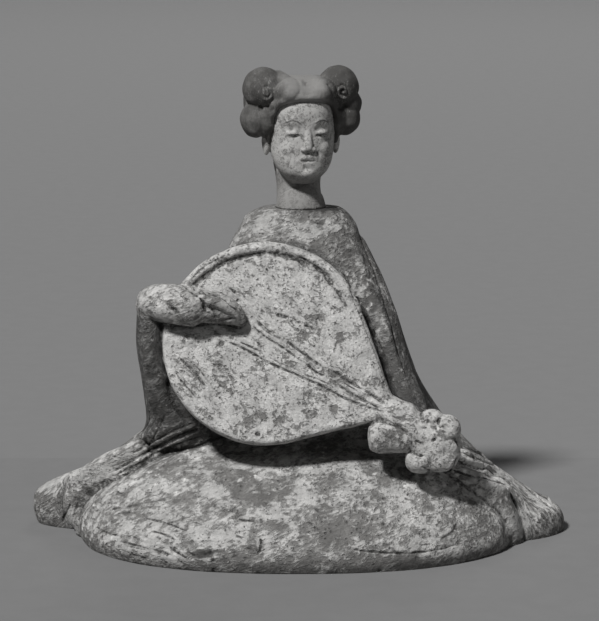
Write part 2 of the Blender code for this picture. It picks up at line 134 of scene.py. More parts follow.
# Sleeve that hangs from the plucking arm and spreads into the left tail
LEFT_SLEEVE = (
    (-8, -152, -40, -8, 34, 2.0),
    (0, -160, -40, -11, 37, 2.0),
    (10, -163, -40, -12, 38, 2.0),
    (20, -160.5, -40, -12, 38, 2.0),
    (27, -150, -40, -14, 36, 2.0),
    (34, -133, -40, -19, 34, 2.0),
    (41, -116, -40, -26, 32, 2.0),
    (49, -103, -40, -33, 28, 2.1),
    (60, -94.5, -42, -42, 24, 2.2),
    (72, -91.5, -48, -48, 18, 2.4),
    (86, -92, -58, -52, 8, 2.6),
    (100, -93.5, -68, -54, -2, 2.6),
    (120, -96, -75, -56, -8, 2.5),
    (142, -95, -76, -58, -14, 2.4),
)

# Cloth that fills the space from that sleeve to the robe, behind the lute
SLEEVE_LINING = (
    (30, -104, -30, -22, 30, 2.2),
    (50, -92, -30, -32, 24, 2.2),
    (70, -86, -30, -40, 18, 2.3),
    (90, -86, -30, -42, 12, 2.4),
    (110, -87, -28, -42, 8, 2.4),
    (126, -84, -24, -38, 8, 2.3),
    (140, -70, -20, -28, 8, 2.1),
)

# Cloth that joins the robe to its two tails, each station a centre, a half width and a half thickness
SKIRT_JOINS = (
    (
        ((-124, -14, -6), 13, 10),
        ((-125, -14, 6), 15, 11),
        ((-130, -10, 16), 15, 13),
        ((-124, -12, 27), 15, 14),
        ((-109, -19, 39), 14, 13),
        ((-90, -28, 51), 11, 10),
    ),
    (
        ((121, -29, -6), 17, 13),
        ((120, -30, 8), 18, 13),
        ((113, -33, 22), 17, 13),
        ((103, -37, 35), 15, 13),
        ((92, -40, 48), 12, 12),
    ),
)

# Sleeve of the fingering arm, down to the right tail
RIGHT_SLEEVE = (
    (-8, 42, 155, -36, 30, 2.0),
    (0, 42, 160, -40, 33, 2.0),
    (8, 42, 160, -41, 34, 2.0),
    (14, 42, 156, -41, 34, 2.0),
    (20, 42, 145.5, -41, 33, 2.0),
    (28, 42, 133.5, -41, 32, 2.0),
    (37, 42, 120.5, -42, 31, 2.0),
    (46, 42, 108, -43, 30, 2.0),
    (56, 42, 96.5, -45, 28, 2.1),
    (70, 40, 85.5, -46, 26, 2.2),
    (84, 38, 77, -42, 24, 2.2),
    (98, 36, 69, -34, 22, 2.2),
    (118, 34, 62, -24, 20, 2.2),
)

# Arms, each station a centre, a half width and a half thickness
PLUCKING_ARM = (
    ((-24, 4, 166), 12, 12),
    ((-46, 6, 140), 14, 13),
    ((-68, -4, 128), 13, 13),
    ((-81, -26, 137), 12, 12),
    ((-84, -43, 145), 11, 11.5),
    ((-78, -55, 147.5), 11.4, 12.5),
    ((-69, -60.5, 147.5), 11.6, 11.5),
    ((-59.5, -61, 146), 11.2, 10.5),
)
PLUCKING_HAND = (
    ((-64, -58.5, 146.5), 10, 8.5),
    ((-54, -60.5, 146.5), 9.6, 8.4),
    ((-45, -61, 145), 8.8, 7.4),
    ((-38, -61, 141.5), 6.6, 6),
    ((-34, -60, 138.5), 4.2, 4.8),
)
UPPER_FINGERS = (
    ((-58, -68, 152), 3.2, 2.8),
    ((-48, -69, 150.5), 3.0, 2.6),
    ((-40, -68, 146), 2.4, 2.2),
    ((-35.5, -66, 141), 1.6, 1.6),
)
FINGERING_ARM = (
    ((28, 2, 172), 11, 12),
    ((38, -17, 150), 12, 14),
    ((46, -31, 125), 13, 15),
    ((53, -41, 102), 13, 15),
    ((62, -54, 84), 12, 13),
    ((66, -68, 74), 10, 10),
)

# Lute: the middle of its face, its lean away from the viewer and the fall of its neck
LUTE_MIDDLE = Vector((-17.8, -61.0, 124.6))
LUTE_LEAN = math.radians(18)
LUTE_FALL = math.radians(28.5)
LUTE_RADIUS = 57.6
LUTE_TAIL_STRETCH = 1.09
LUTE_SHOULDER = math.radians(48)
# Rings of its bowl from back to face: depth behind the face, and how far the ring is drawn in
LUTE_BOWL = (
    (-30, 26),
    (-24, 10),
    (-16, 2),
    (-9, 0),
    (-2.4, 0.1),
    (-0.6, 0.6),
    (0, 1.8),
)
LUTE_NECK = (
    ((34, -62, 97), 10, 8),
    ((44, -65, 90), 10.5, 8),
    ((55, -69, 83), 11, 8.5),
    ((66, -72, 75), 12, 9),
    ((75, -73, 69), 12, 9),
)
RIM_ROLL_STATIONS = 30
RIM_ROLL_RADIUS = 4.0
RIM_ROLL_INSET = 1.25
RIM_ROLL_RISE = -0.3
RIM_ROLL_SWEEP = (math.radians(172), math.radians(-14))
RIM_ROLL_TAPER = 0.5
RIM_ROLL_FADE = 0.45

# Pegbox and the fingers round it: centre and radii
PEGBOX = (
    ((77, -72.5, 67.5), (16, 10, 15.5)),
    ((73, -73, 71.5), (12.5, 9, 11.5)),
    ((82.5, -73, 62.5), (10.5, 9, 10.5)),
    ((85, -74.5, 77.8), (8, 8, 8)),
    ((84.5, -73, 68), (8.2, 9, 10.5)),
    ((80.5, -74, 60.5), (8.8, 8, 8.6)),
    ((69, -75, 59.2), (8.2, 8, 7.8)),
    ((76.5, -73, 83), (6.6, 7, 6)),
    ((62, -71, 87), (5, 5.5, 4.4)),
)
PEGBOX_ROUGH_REACH = 26.0
PEG_BARREL = (((44.5, -74, 72), 9.4, 9.4), ((50, -73.5, 72.3), 9.6, 9.6), ((62, -73, 72.5), 9, 9))

# Head, before it is turned: the neck, and lumps as centre and radii
NECK = (
    ((0, 2, 190), 16, 16),
    ((0, 2.5, 197), 15, 15),
    ((0, 5.5, 201), 13.6, 13.6),
    ((0, 8, 210), 13.2, 13.4),
    ((0, 8, 222), 15, 15.5),
)
SKULL = (
    (211, -7, 7, -9, 8, 2.0),
    (215, -11, 11, -16.5, 10, 2.1),
    (219, -14.4, 14.4, -19.6, 12, 2.2),
    (224, -17, 17, -20.2, 14, 2.2),
    (229, -18.4, 18.4, -20.1, 17, 2.2),
    (235, -19, 19, -20, 20, 2.2),
    (241, -19.4, 19.4, -19.6, 22, 2.2),
    (248, -19, 19, -20, 24, 2.3),
    (255, -18.4, 18.4, -19.8, 25, 2.3),
    (262, -17, 17, -17, 24, 2.2),
    (268, -13, 13, -10, 20, 2.2),
)
CROWN_HAIR = (
    (258, -19, 19, -13, 27, 2.3),
    (260.5, -20.5, 20.5, -17.5, 28, 2.3),
    (263, -21, 21, -19.6, 28, 2.3),
    (266.5, -20.5, 20.5, -18.8, 28, 2.3),
    (270, -18.5, 18.5, -14.5, 25, 2.3),
    (272.8, -15, 15, -8, 20, 2.2),
    (274, -9, 9, -2, 13, 2.1),
)
BACK_HAIR = (
    (222, -9, 9, 6, 19, 2.1),
    (227, -14.5, 14.5, 2, 23.5, 2.2),
    (233, -18.5, 18.5, -1, 26.5, 2.3),
    (240, -20.6, 20.6, -5, 28, 2.4),
    (248, -21.4, 21.4, -9, 28.6, 2.4),
    (256, -21.6, 21.6, -13, 28.4, 2.4),
    (262, -21, 21, -16, 27.5, 2.4),
)
FACE_LUMPS = (
    ((0, -14.5, 219), (6, 6.6, 4.4)),
    ((7.8, -10.4, 233), (7.8, 8.4, 9)),
    ((2.6, -19.9, 232.7), (2.0, 2.0, 1.7)),
    ((7.8, -15.2, 242.3), (4.9, 4.4, 2.9)),
)
EARS = ((20.8, 1, 236.5), (2.7, 4.2, 9))
HAIR_BUNCHES = (
    ((22.5, 1, 267.3), (12.6, 13, 12.7)),
    ((26.8, 2, 249), (9.2, 11, 10.8)),
    ((23, 9, 258), (10, 12, 13)),
    ((9.5, -3, 265.2), (11, 17.4, 8.8)),
    ((21.5, -0.5, 249.5), (7.6, 9.5, 11.5)),
)
BUNCH_FILLS = (((27.6, 3, 257.5), (9.6, 11, 10)), ((-14.5, 1, 269), (9.5, 11, 8.6)))
# Roll of hair that frames the brow, from the middle down to one ear
HAIR_FRAME = (
    ((0, -16.8, 263.4), 3.4, 3.0),
    ((6, -16.4, 263.4), 3.4, 3.0),
    ((12.4, -14.4, 262.2), 3.4, 3.0),
    ((17.2, -10.8, 258.8), 3.4, 2.7),
    ((19.9, -7.4, 251.5), 3.8, 2.2),
    ((20.6, -4, 243), 3.8, 1.9),
    ((20, -1, 236), 3.0, 1.6),
)
NOSE = (
    ((0, -17.6, 246), 2.4, 2.6),
    ((0, -18.6, 240.5), 2.5, 2.6),
    ((0, -19.9, 235.6), 2.6, 2.6),
    ((0, -20.2, 233.4), 2.6, 2.7),
)

# Broad carving that the solids have too: lines seen from the front as x and height, half width, rise
FOLD_LINES = (
    (((-76, 76), (-96, 58), (-122, 42), (-148, 26)), 4.0, 4.2),
    (((-54, 66), (-84, 52), (-110, 38), (-132, 22), (-138, 8)), 3.2, -1.4),
    (((-60, 60), (-88, 45), (-112, 31), (-128, 17)), 3.0, 1.4),
    (((-88, 132), (-88, 106), (-84, 80)), 3.5, 2.2),
    (((-76, 104), (-74, 88), (-64, 72)), 3.0, -2.4),
    (((88, 56), (108, 46), (130, 29), (148, 16)), 3.2, -2.4),
    (((94, 47), (114, 37), (134, 22), (150, 10)), 3.2, 2.2),
    (((98, 42), (112, 34), (121, 18), (122, 5)), 4.0, -1.2),
    (((31, 180), (40, 153), (51, 128), (59, 104), (66, 84)), 4.0, 2.6),
    (((28, 160), (39, 134), (47, 112), (55, 90)), 3.2, -2.4),
)
BACK_LINES = (
    (((-22, 176), (-34, 130), (-52, 80), (-78, 24)), 6.0, -2.2),
    (((4, 160), (6, 110), (2, 60), (-6, 14)), 6.0, -1.8),
    (((24, 172), (40, 120), (62, 70), (92, 22)), 6.0, -2.2),
    (((-30, 96), (-44, 60), (-56, 26)), 5.0, 1.8),
    (((30, 100), (38, 60), (44, 24)), 5.0, 1.8),
)
RIM_GROOVE = (math.radians(160), math.radians(12))
RIM_GROOVE_POINTS = 16
RIM_GROOVE_INSET = 8.0
RIM_GROOVE_DEPTH = 0.8
RIM_GROOVE_HALF_WIDTH = 1.5

# Fine carving: lines in pixels of the photograph, half width in pixels, rise in parts
STRINGS = (
    (((255, 319.3), (268.3, 331), (279, 337.5), (290, 343.3), (300.5, 351.3), (311, 359.3), (321.7, 366),
      (335, 372.7), (348.3, 380.7), (361.7, 388.7), (377.7, 399), (388, 405.5)), 1.5, -0.95),
    (((250, 321), (262, 331), (273.7, 339.3), (287, 346), (301.7, 355.3), (309, 361), (321.7, 369.3),
      (335, 379.5), (348.3, 390), (365.7, 400), (381, 407.3)), 1.2, 0.95),
    (((266, 337), (284.3, 348.7), (295, 356.7), (308.3, 365.6), (316.3, 372), (325.7, 376.7)), 1.0, -0.8),
    (((327, 374.8), (340.3, 382.8), (356.3, 392.4), (368, 399), (384, 406.5)), 1.0, 0.75),
    (((330, 372), (345, 378.2), (360, 386.2), (374, 395)), 0.9, 0.6),
    (((338, 384.6), (354, 394.4), (366, 401.2), (380, 409)), 0.9, -0.7),
    (((223, 340), (241.7, 347.3), (253.7, 354), (268.3, 362), (281.7, 368.7), (295, 374), (305.7, 379.3),
      (316.3, 383.3), (329.7, 390), (341.7, 396.7), (356.3, 403.3), (373, 408.9), (388, 412)), 1.1, -0.85),
    (((228, 339.6), (243, 345.5), (256, 352), (269.5, 360), (283, 366.6), (296, 372), (307, 377.2),
      (318, 381.3), (331, 387.9), (343, 394.7), (358, 401.3), (374, 407)), 1.0, 0.7),
    (((240, 342.3), (255, 348.7), (263, 354)), 0.8, -0.6),
    (((243, 336), (257, 342.3), (262, 350)), 0.9, -0.5),
)
STRING_ENDS = 14
FACE_SCRATCHES = (
    (((275.6, 314.6), (282, 316), (290, 318.4)), 1.7, -0.9),
    (((289, 321), (295, 321.4), (301, 322.6)), 0.8, -0.8),
    (((304, 325), (309, 326.6), (314, 329)), 1.2, -1.1),
    (((265, 267), (270, 274), (276, 281)), 1.3, -0.5),
    (((181, 356), (196, 369), (209, 386)), 0.9, 0.8),
    (((179, 358), (193, 371), (206, 388)), 1.0, -0.6),
    (((168, 352), (178, 376), (200, 402)), 0.9, -0.5),
    (((172, 341), (171, 352), (174, 360)), 1.0, 0.6),
    (((236, 300), (243, 301), (247, 297)), 1.3, -0.8),
    (((227, 286), (231, 289), (236, 293)), 1.5, -0.7),
    (((189, 284), (195, 275), (203, 268), (212, 262), (224, 257)), 1.2, -0.9),
    (((262, 251), (272, 253), (281, 252)), 1.3, -0.9),
    (((296, 256), (312, 264), (330, 278)), 1.6, -0.9),
    (((345, 290), (362, 312), (374, 338), (383, 362)), 1.3, -0.8),
)
FACE_PITS = (
    (221.5, 343.5, 2.6, -1.6),
    (258, 434, 2.2, -1.2),
    (298, 330, 1.6, -0.6),
    (190, 341, 4.0, 1.4),
    (183, 337, 3.0, 0.9),
)
RIM_NICKS = (
    ((196, 262), (203, 268)),
    ((204, 254), (211, 261)),
    ((213, 248), (219, 255)),
    ((223, 243), (228, 251)),
    ((187, 271), (193, 275)),
)
RIM_NICK_HALF_WIDTH = 1.0
RIM_NICK_DEPTH = 0.6
CUFF_LINES = (
    (((183, 285), (194, 293), (203, 303), (206, 314)), 1.7, -1.9),
    (((187, 283), (198, 290), (207, 300)), 1.6, 1.2),
    (((206, 291), (222, 299), (238, 311)), 1.4, -1.2),
    (((197, 326), (216, 322), (235, 318)), 1.4, -0.9),
    (((208, 306), (214, 312), (216, 321)), 1.6, -1.0),
    (((152, 297), (166, 304), (180, 316)), 2.6, -1.2),
    (((168, 288), (180, 297), (190, 309)), 1.8, 1.0),
)
LEFT_HEM_LINES = (
    (((200, 424), (176, 432), (155, 443), (132, 457)), 1.5, 1.3),
    (((202, 431), (178, 440), (157, 451), (131, 465), (112, 475)), 1.5, 1.2),
    (((201, 427.5), (177, 436), (156, 447), (131, 461)), 1.2, -1.4),
    (((203, 435), (178, 445), (156, 456), (130, 470), (100, 485)), 1.5, -1.5),
    (((162, 410), (154, 430), (145, 443), (129, 453), (98, 468), (66, 480)), 1.3, 1.0),
    (((166, 412), (159, 431), (149, 446), (132, 455)), 1.3, -0.9),
    (((151, 408), (148, 425), (140, 438), (118, 452)), 1.3, -0.7),
    (((70, 503), (66, 511), (62, 523)), 1.3, -1.5),
    (((76, 500), (72, 512), (71, 524)), 1.5, 0.8),
)
LAP_LINES = (
    (((119, 541), (138, 546), (171, 554)), 0.9, -0.7),
    (((124, 545), (150, 551), (176, 556)), 0.9, -0.5),
    (((144, 518), (166, 523), (189, 532)), 0.9, -0.7),
    (((260, 536), (261, 546), (257, 556)), 1.1, -0.7),
    (((350, 549), (376, 552), (410, 553), (441, 549), (464, 542)), 1.0, -1.0),
    (((216, 560), (226, 557), (240, 553)), 0.9, 0.6),
    (((96, 527), (106, 532), (120, 536)), 1.1, -0.7),
    (((110, 517), (120, 513), (132, 512)), 1.1, -0.6),
    (((150, 531), (163, 534), (178, 541)), 1.0, -0.6),
    (((168, 545), (178, 553), (190, 560)), 1.3, -0.9),
    (((184, 545), (189, 552), (197, 557)), 1.2, -0.8),
    (((124, 551), (136, 556), (150, 559)), 1.1, -0.6),
    (((206, 540), (214, 542), (222, 548)), 1.0, -0.5),
    (((236, 519), (252, 521), (266, 519)), 1.2, -0.5),
    (((198, 508), (222, 506), (246, 510)), 1.5, 0.5),
    (((160, 524), (190, 520), (214, 526)), 1.6, 0.6),
    (((128, 530), (150, 542), (180, 548)), 1.8, 0.6),
    (((100, 500), (140, 492), (180, 482)), 1.6, 0.4),
    (((92, 512), (130, 506), (176, 497)), 1.4, -0.3),
    (((440, 540), (452, 532), (458, 521)), 1.2, -0.5),
)
RIGHT_TAIL_LINES = (
    (((459, 450), (486, 462), (508, 471), (529, 487), (548, 507)), 1.8, -1.6),
    (((462, 445), (490, 458), (512, 468), (533, 484), (552, 504)), 1.8, 1.4),
    (((455, 459), (474, 465), (496, 471), (514, 482)), 1.6, -1.5),
    (((456, 454), (474, 461), (494, 468)), 1.5, 1.2),
    (((449, 469), (470, 476), (492, 480), (510, 487)), 1.6, -1.2),
    (((452, 464), (472, 471), (494, 476)), 1.5, 1.0),
    (((518, 488), (530, 499), (548, 512)), 1.6, -1.4),
    (((522, 484), (538, 497), (556, 512)), 1.6, 1.2),
)
SLEEVE_LINES = (
    (((341, 266), (352, 290), (366, 314), (378, 340), (388, 366)), 1.6, -1.2),
    (((358, 232), (374, 270), (388, 316), (396, 350), (407, 382)), 1.6, -1.2),
    (((375, 300), (384, 325), (391, 350)), 3.0, 0.8),
    (((330, 214), (346, 224), (356, 240)), 1.6, 0.7),
    (((312, 222), (326, 226), (338, 236)), 1.6, -0.6),
    (((362, 312), (371, 330), (381, 354), (391, 378), (398, 392)), 4.0, -0.9),
)
PEGBOX_LINES = (
    (((426, 421), (433, 423), (440, 420)), 1.4, -1.1),
    (((440.5, 417), (438, 423), (441, 430)), 1.3, -1.0),
    (((441, 425), (446, 431.5)), 2.2, -0.9),
    (((424, 457), (418, 455), (408, 452)), 1.5, -1.1),
    (((401, 424), (403, 438), (400, 452)), 1.5, -0.3),
    (((452, 437), (456, 441), (459, 448)), 1.2, -0.7),
    (((431.5, 441), (434.5, 439.5), (437, 438.6)), 1.2, -1.6),
    (((414.8, 439.8), (420, 443), (425, 446)), 1.2, -0.9),
    (((454, 458), (451, 464), (445.5, 470)), 1.3, 1.1),
    (((457, 457), (453.5, 466), (448, 472)), 1.0, -1.0),
    (((421, 466), (430, 470), (441, 469.5)), 1.2, -0.7),
    (((382, 416), (398, 424), (412, 434)), 1.1, 0.7),
)

# Carving of the head, before it is turned, as x and height: in its middle, and on both sides
HEAD_LINES = (
    (((0, 263), (-0.5, 267), (0, 273)), 2.6, -1.3),
    (((-5.4, 226.2), (-1.6, 225.9), (0, 226.2), (1.6, 225.9), (5.4, 226.2)), 0.6, -0.9),
    (((-4.8, 227.0), (-1.6, 228.0), (0, 227.6), (1.6, 228.0), (4.8, 227.0)), 1.1, 1.0),
    (((-3.8, 224.6), (0, 223.9), (3.8, 224.6)), 1.3, 1.1),
    (((-3.6, 221.8), (0, 221.2), (3.6, 221.8)), 1.3, -0.6),
    (((0, 231.0), (0, 229.0)), 0.9, -0.35),
)
HEAD_SIDE_LINES = (
    (((3.6, 243.4), (7.6, 245.4), (12.2, 243.8)), 1.5, -0.6),
    (((4.4, 242.0), (7.8, 243.0), (11.4, 242.2)), 1.5, 0.2),
    (((4.2, 240.9), (7.8, 240.5), (11.6, 241.2)), 0.5, -0.45),
    (((4.6, 239.0), (7.8, 238.4), (11.0, 239.2)), 1.4, 0.3),
    (((3.2, 247.6), (8, 249.4), (13, 247.4)), 1.6, 0.5),
    (((5.2, 231.4), (6.8, 229), (7.0, 226)), 1.0, -0.4),
    (((2.6, 230.6), (3.6, 231.2), (4.4, 232.4)), 0.6, -0.5),
    (((18, 256.5), (22, 255.5), (28, 257.5)), 1.6, -1.6),
    (((13, 272), (15.5, 266), (15.5, 260)), 1.5, -1.4),
)
ROSETTE_MIDDLE = (22.8, 265.6)
ROSETTE_TURNS = 1.4
ROSETTE_REACH = 4.4
ROSETTE_HALF_WIDTH = 0.75
ROSETTE_RISE = 0.9

# Edge of the hair on the brow: its height in the middle, its fall at the temples, its half width
HAIRLINE_TOP = 260.0
HAIRLINE_FALL = 8.0
HAIRLINE_HALF = 18.5
HAIRLINE_ROUND = 6.0
HAIRLINE_DEPTH = -4.0
HAIRLINE_LOW = 246
HAIRLINE_MOST = 1.2
HAIRLINE_BLUR = 1.2
# How softly hair and face meet, where the shadow painted on the neck under the chin starts and is full, and
# where the hair is paler
HEAD_BLUR = 0.3
NECK_PAINTED_SHADOW = (219, 215)
CROWN_HALF = 13
CROWN_HEIGHTS = (252, 257)
# The viewer's left side of the hair, where the key light falls, is painted paler: painted light
LEFT_PAINTED_LIGHT = 0.25

# Thin painted lines of the face: line, half width, strength
BROW_LINES = ((((3.6, 247.2), (6.5, 249.2), (10, 249.6), (13.6, 247.6)), 0.42, 0.9),)
LID_LINES = (
    (((3.8, 241.0), (6.0, 241.5), (9.2, 241.6), (12.0, 241.1)), 0.38, 0.95),
    (((4.4, 240.7), (7.8, 240.1), (11.2, 240.8)), 0.25, 0.4),
)
PUPIL = ((7.8, 240.9), 0.8)
PUPIL_INK = 0.9
INK_SPACING = 0.3
INK_ENDS = 7
LIP_LINE = (((-5.0, 226.2), (-1.6, 225.9), (0, 226.1), (1.6, 225.9), (5.0, 226.2)), 0.35, 0.75)


def clay_rows(rows, steps):
    """The rows of a table with `steps` rows from each one to the next, on a curve through them all."""
    rows = np.array(rows, float)
    padded = np.vstack((2 * rows[0] - rows[1], rows, 2 * rows[-1] - rows[-2]))
    filled = []
    for i in range(1, len(padded) - 2):
        before, start, end, after = padded[i - 1 : i + 3]
        for t in np.arange(steps) / steps:
            filled.append(
                start
                + 0.5 * t * (end - before)
                + t * t * (before - 2.5 * start + 2 * end - 0.5 * after)
                + t * t * t * (1.5 * start - 0.5 * before - 1.5 * end + 0.5 * after)
            )
    filled.append(rows[-1])
    return filled


def once_round(points):
    """Evenly spaced angles, once round."""
    return np.linspace(0, 2 * math.pi, points, endpoint=False)


def skin(clay, rings, place=None):
    """Adds a closed skin through the rings, which all have the same number of points, in parts."""
    if place:
        rings = [[place(point) for point in ring] for ring in rings]
    loops = [[clay.verts.new(Vector(point) * PART) for point in ring] for ring in rings]
    faces = []
    for lower, upper in zip(loops, loops[1:]):
        for i in range(len(lower)):
            j = (i + 1) % len(lower)
            faces.append(clay.faces.new((lower[i], lower[j], upper[j], upper[i])))
    faces.append(clay.faces.new(loops[0][::-1]))
    faces.append(clay.faces.new(loops[-1]))
    bmesh.ops.recalc_face_normals(clay, faces=faces)


def squared(value, fullness):
    """A sine or cosine that makes a circle into a fuller outline."""
    return math.copysign(abs(value) ** (2 / fullness), value)


def slices(clay, table, place=None):
    """Adds a form from horizontal slices, each a rounded outline between its four sides."""
    rings = []
    for z, left, right, front, back, fullness in clay_rows(table, FORM_STEPS):
        ring = []
        for turn in once_round(RING_POINTS):
            x = (left + right) / 2 + (right - left) / 2 * squared(math.cos(turn), fullness)
            y = (front + back) / 2 + (back - front) / 2 * squared(math.sin(turn), fullness)
            ring.append((x, y, z))
        rings.append(ring)
    skin(clay, rings, place)


def sweep(clay, stations, upright=(0, 0, 1), place=None, points=LIMB_POINTS):
    """Adds a round-ended limb along the stations, its half width along `upright`, its thickness across."""
    rows = clay_rows([(*centre, wide, thick) for centre, wide, thick in stations], FORM_STEPS)
    centres = [Vector(row[:3]) for row in rows]
    last = len(rows) - 1
    rings = []
    for i, (centre, row) in enumerate(zip(centres, rows)):
        wide, thick = row[3:]
        along = (centres[min(i + 1, last)] - centres[max(i - 1, 0)]).normalized()
        side = along.cross(Vector(upright)).normalized()
        rise = side.cross(along).normalized()
        ring = [
            centre + rise * (wide * math.cos(turn)) + side * (thick * math.sin(turn))
            for turn in once_round(points)
        ]
        rings.append(ring)
        if i in (0, last):
            reach = along * (thick * END_REACH * (1 if i else -1))
            cap = [centre + (point - centre) * END_SHRINK + reach for point in ring]
            rings.insert(len(rings) if i else 0, cap)
    skin(clay, rings, place)


def ball(clay, centre, radii, place=None):
    """Adds an ellipsoid."""
    rings = []
    for rise in np.linspace(-0.5, 0.5, BALL_RINGS)[1:-1] * math.pi:
        ring = []
        for turn in once_round(BALL_POINTS):
            out = (math.cos(rise) * math.cos(turn), math.cos(rise) * math.sin(turn), math.sin(rise))
            ring.append(Vector(centre) + Vector([radius * share for radius, share in zip(radii, out)]))
        rings.append(ring)
    skin(clay, rings, place)


def on_lute(along, across, out):
    """A point of the lute's own frame: along its neck, across it, and out of its face."""
    turned = Matrix.Rotation(-LUTE_FALL, 2) @ Vector((along, across))
    lean = Matrix.Rotation(-LUTE_LEAN, 3, "X")
    return LUTE_MIDDLE + lean @ Vector((turned.x, -out, turned.y))


def round_lute(turn, inset, out):
    """A point at an angle from the lute's neck, this far inside its outline and out of its face."""
    aside = abs((turn + math.pi) % (2 * math.pi) - math.pi)
    if aside < LUTE_SHOULDER:
        reach = LUTE_RADIUS / math.cos(LUTE_SHOULDER - aside)
    else:
        past = (aside - LUTE_SHOULDER) / (math.pi - LUTE_SHOULDER)
        reach = LUTE_RADIUS * (1 + (LUTE_TAIL_STRETCH - 1) * past)
    return on_lute((reach - inset) * math.cos(turn), (reach - inset) * math.sin(turn), out)


def lute(clay):
    """The bowl with its flat face, the raised roll round the face's upper edge, the neck and the pegbox."""
    bowl = [
        [round_lute(turn, inset, out) for turn in once_round(LUTE_POINTS)] for out, inset in LUTE_BOWL
    ]
    skin(clay, bowl)
    roll = []
    for share in np.linspace(0, 1, RIM_ROLL_STATIONS):
        turn = LUTE_FALL + RIM_ROLL_SWEEP[0] + (RIM_ROLL_SWEEP[1] - RIM_ROLL_SWEEP[0]) * share
        taper = (1 - RIM_ROLL_TAPER * (2 * share - 1) ** 2) * (1 - RIM_ROLL_FADE * share)
        radius = RIM_ROLL_RADIUS * taper
        middle = round_lute(turn, radius * RIM_ROLL_INSET, radius * RIM_ROLL_RISE)
        roll.append((middle, radius, radius))
    sweep(clay, roll, upright=(0, -1, 0), points=ROLL_POINTS)
    sweep(clay, LUTE_NECK)
    for centre, radii in PEGBOX:
        ball(clay, centre, radii)
    sweep(clay, PEG_BARREL)


def rim_groove():
    """The groove inside the rim roll, as a line seen from the front."""
    turns = np.linspace(*RIM_GROOVE, RIM_GROOVE_POINTS)
    middles = [round_lute(turn + LUTE_FALL, RIM_GROOVE_INSET, 0) for turn in turns]
    return [(middle.x, middle.z) for middle in middles], RIM_GROOVE_HALF_WIDTH, -RIM_GROOVE_DEPTH


def from_behind(point):
    return Vector((-point[0], -point[1], point[2]))


def head_place(point):
    """A point of the head, turned with it about the neck."""
    return Matrix.Rotation(HEAD_TURN, 3, "Z") @ Vector(point) + Vector((NECK_X, 0, 0))


def head_local(points):
    """Points of the head in parts, turned back to where its tables are."""
    back = np.array(Matrix.Rotation(-HEAD_TURN, 3, "Z"))
    return (points / PART - np.array((NECK_X, 0, 0))) @ back.T


def both_sides(lines):
    """The lines and their images on the other side of the face."""
    return [
        ([(side * x, z) for x, z in line], half_width, rise)
        for line, half_width, rise in lines
        for side in (-1, 1)
    ]


def make_camera():
    """The photograph's camera: its distance, its rise over the figure and its frame."""
    camera = bpy.data.objects.new("camera", bpy.data.cameras.new("camera"))
    bpy.context.scene.collection.objects.link(camera)
    back = Vector((0, -math.cos(CAMERA_RISE), math.sin(CAMERA_RISE)))
    camera.location = CAMERA_AIM + back * CAMERA_DISTANCE
    camera.rotation_euler = back.to_track_quat("Z", "Y").to_euler()
    camera.data.sensor_width = SENSOR
    camera.data.lens = SENSOR * LENS_IN_PIXELS / PHOTO_HEIGHT
    bpy.context.scene.camera = camera
    bpy.context.view_layer.update()
    return camera


def sight(u, v):
    """The line of sight through a pixel of the photograph: its start and its direction."""
    ahead = Vector(((u - PHOTO_WIDTH / 2) / LENS_IN_PIXELS, (PHOTO_HEIGHT / 2 - v) / LENS_IN_PIXELS, -1))
    return camera.matrix_world.translation, (camera.matrix_world.to_3x3() @ ahead).normalized()


def in_photo(points):
    """The pixel of the photograph where each point is seen, and how far from the camera it is."""
    out = np.array([0, math.cos(CAMERA_RISE), -math.sin(CAMERA_RISE)])
    up = np.array([0, math.sin(CAMERA_RISE), math.cos(CAMERA_RISE)])
    offset = points - np.array(CAMERA_AIM)
    depth = CAMERA_DISTANCE + offset @ out
    u = PHOTO_WIDTH / 2 + LENS_IN_PIXELS * offset[:, 0] / depth
    v = PHOTO_HEIGHT / 2 - LENS_IN_PIXELS * (offset @ up) / depth
    return u, v, depth


def front_sight(place):
    """Lines of sight straight from the front, through an x and a height in parts, then placed."""

    def aimed(x, z):
        start = place((x, -HEIGHT_IN_PARTS, z)) * PART
        return start, (place((x, 0, z)) * PART - start).normalized()

    return aimed


def laid(surface, line, aim, spacing):
    """The line, laid on the first surface that its lines of sight meet."""
    found = []
    for x, z in clay_rows(line, LINE_STEPS):
        hit = surface.ray_cast(*aim(x, z))[0]
        if hit is not None and (not found or (hit - found[-1]).length > spacing):
            found.append(hit)
    return np.array(found)


def near_line(points, line, reach):
    """The points within reach of a laid line, with their distance from it and their share of its length."""
    low, high = line.min(0) - reach, line.max(0) + reach
    chosen = np.flatnonzero(np.all((points > low) & (points < high), axis=1))
    here = points[chosen]
    nearest = np.full(len(here), np.inf)
    share = np.zeros(len(here))
    for i, (start, end) in enumerate(zip(line, line[1:])):
        run = end - start
        t = np.clip((here - start) @ run / (run @ run), 0, 1)
        gap = np.linalg.norm(here - start - t[:, None] * run, axis=1)
        closer = gap < nearest
        nearest[closer] = gap[closer]
        share[closer] = (i + t[closer]) / (len(line) - 1)
    return chosen, nearest, share


def knot_noise(points, cell, seed):
    """Smooth random bumps from -1 to 1, one random value at each knot of a grid with this cell."""
    at = (points - points.min(0)) / cell
    knot = np.floor(at).astype(int)
    share = at - knot
    share = share * share * (3 - 2 * share)
    values = np.random.default_rng(seed).uniform(-1, 1, knot.max(0) + 2)
    total = np.zeros(len(points))
    for corner in range(8):
        step = np.array([(corner >> axis) & 1 for axis in range(3)])
        weight = np.prod(np.where(step, share, 1 - share), axis=1)
        x, y, z = (knot + step).T
        total += weight * values[x, y, z]
    return total


def ramp(values, start, full):
    """0 as far as the start, 1 from full on, and straight between."""
    return np.clip((values - start) / (full - start), 0, 1)


def points_of(mesh):
    points = np.empty(len(mesh.vertices) * 3, np.float32)
    mesh.vertices.foreach_get("co", points)
    return points.reshape(-1, 3).astype(float)


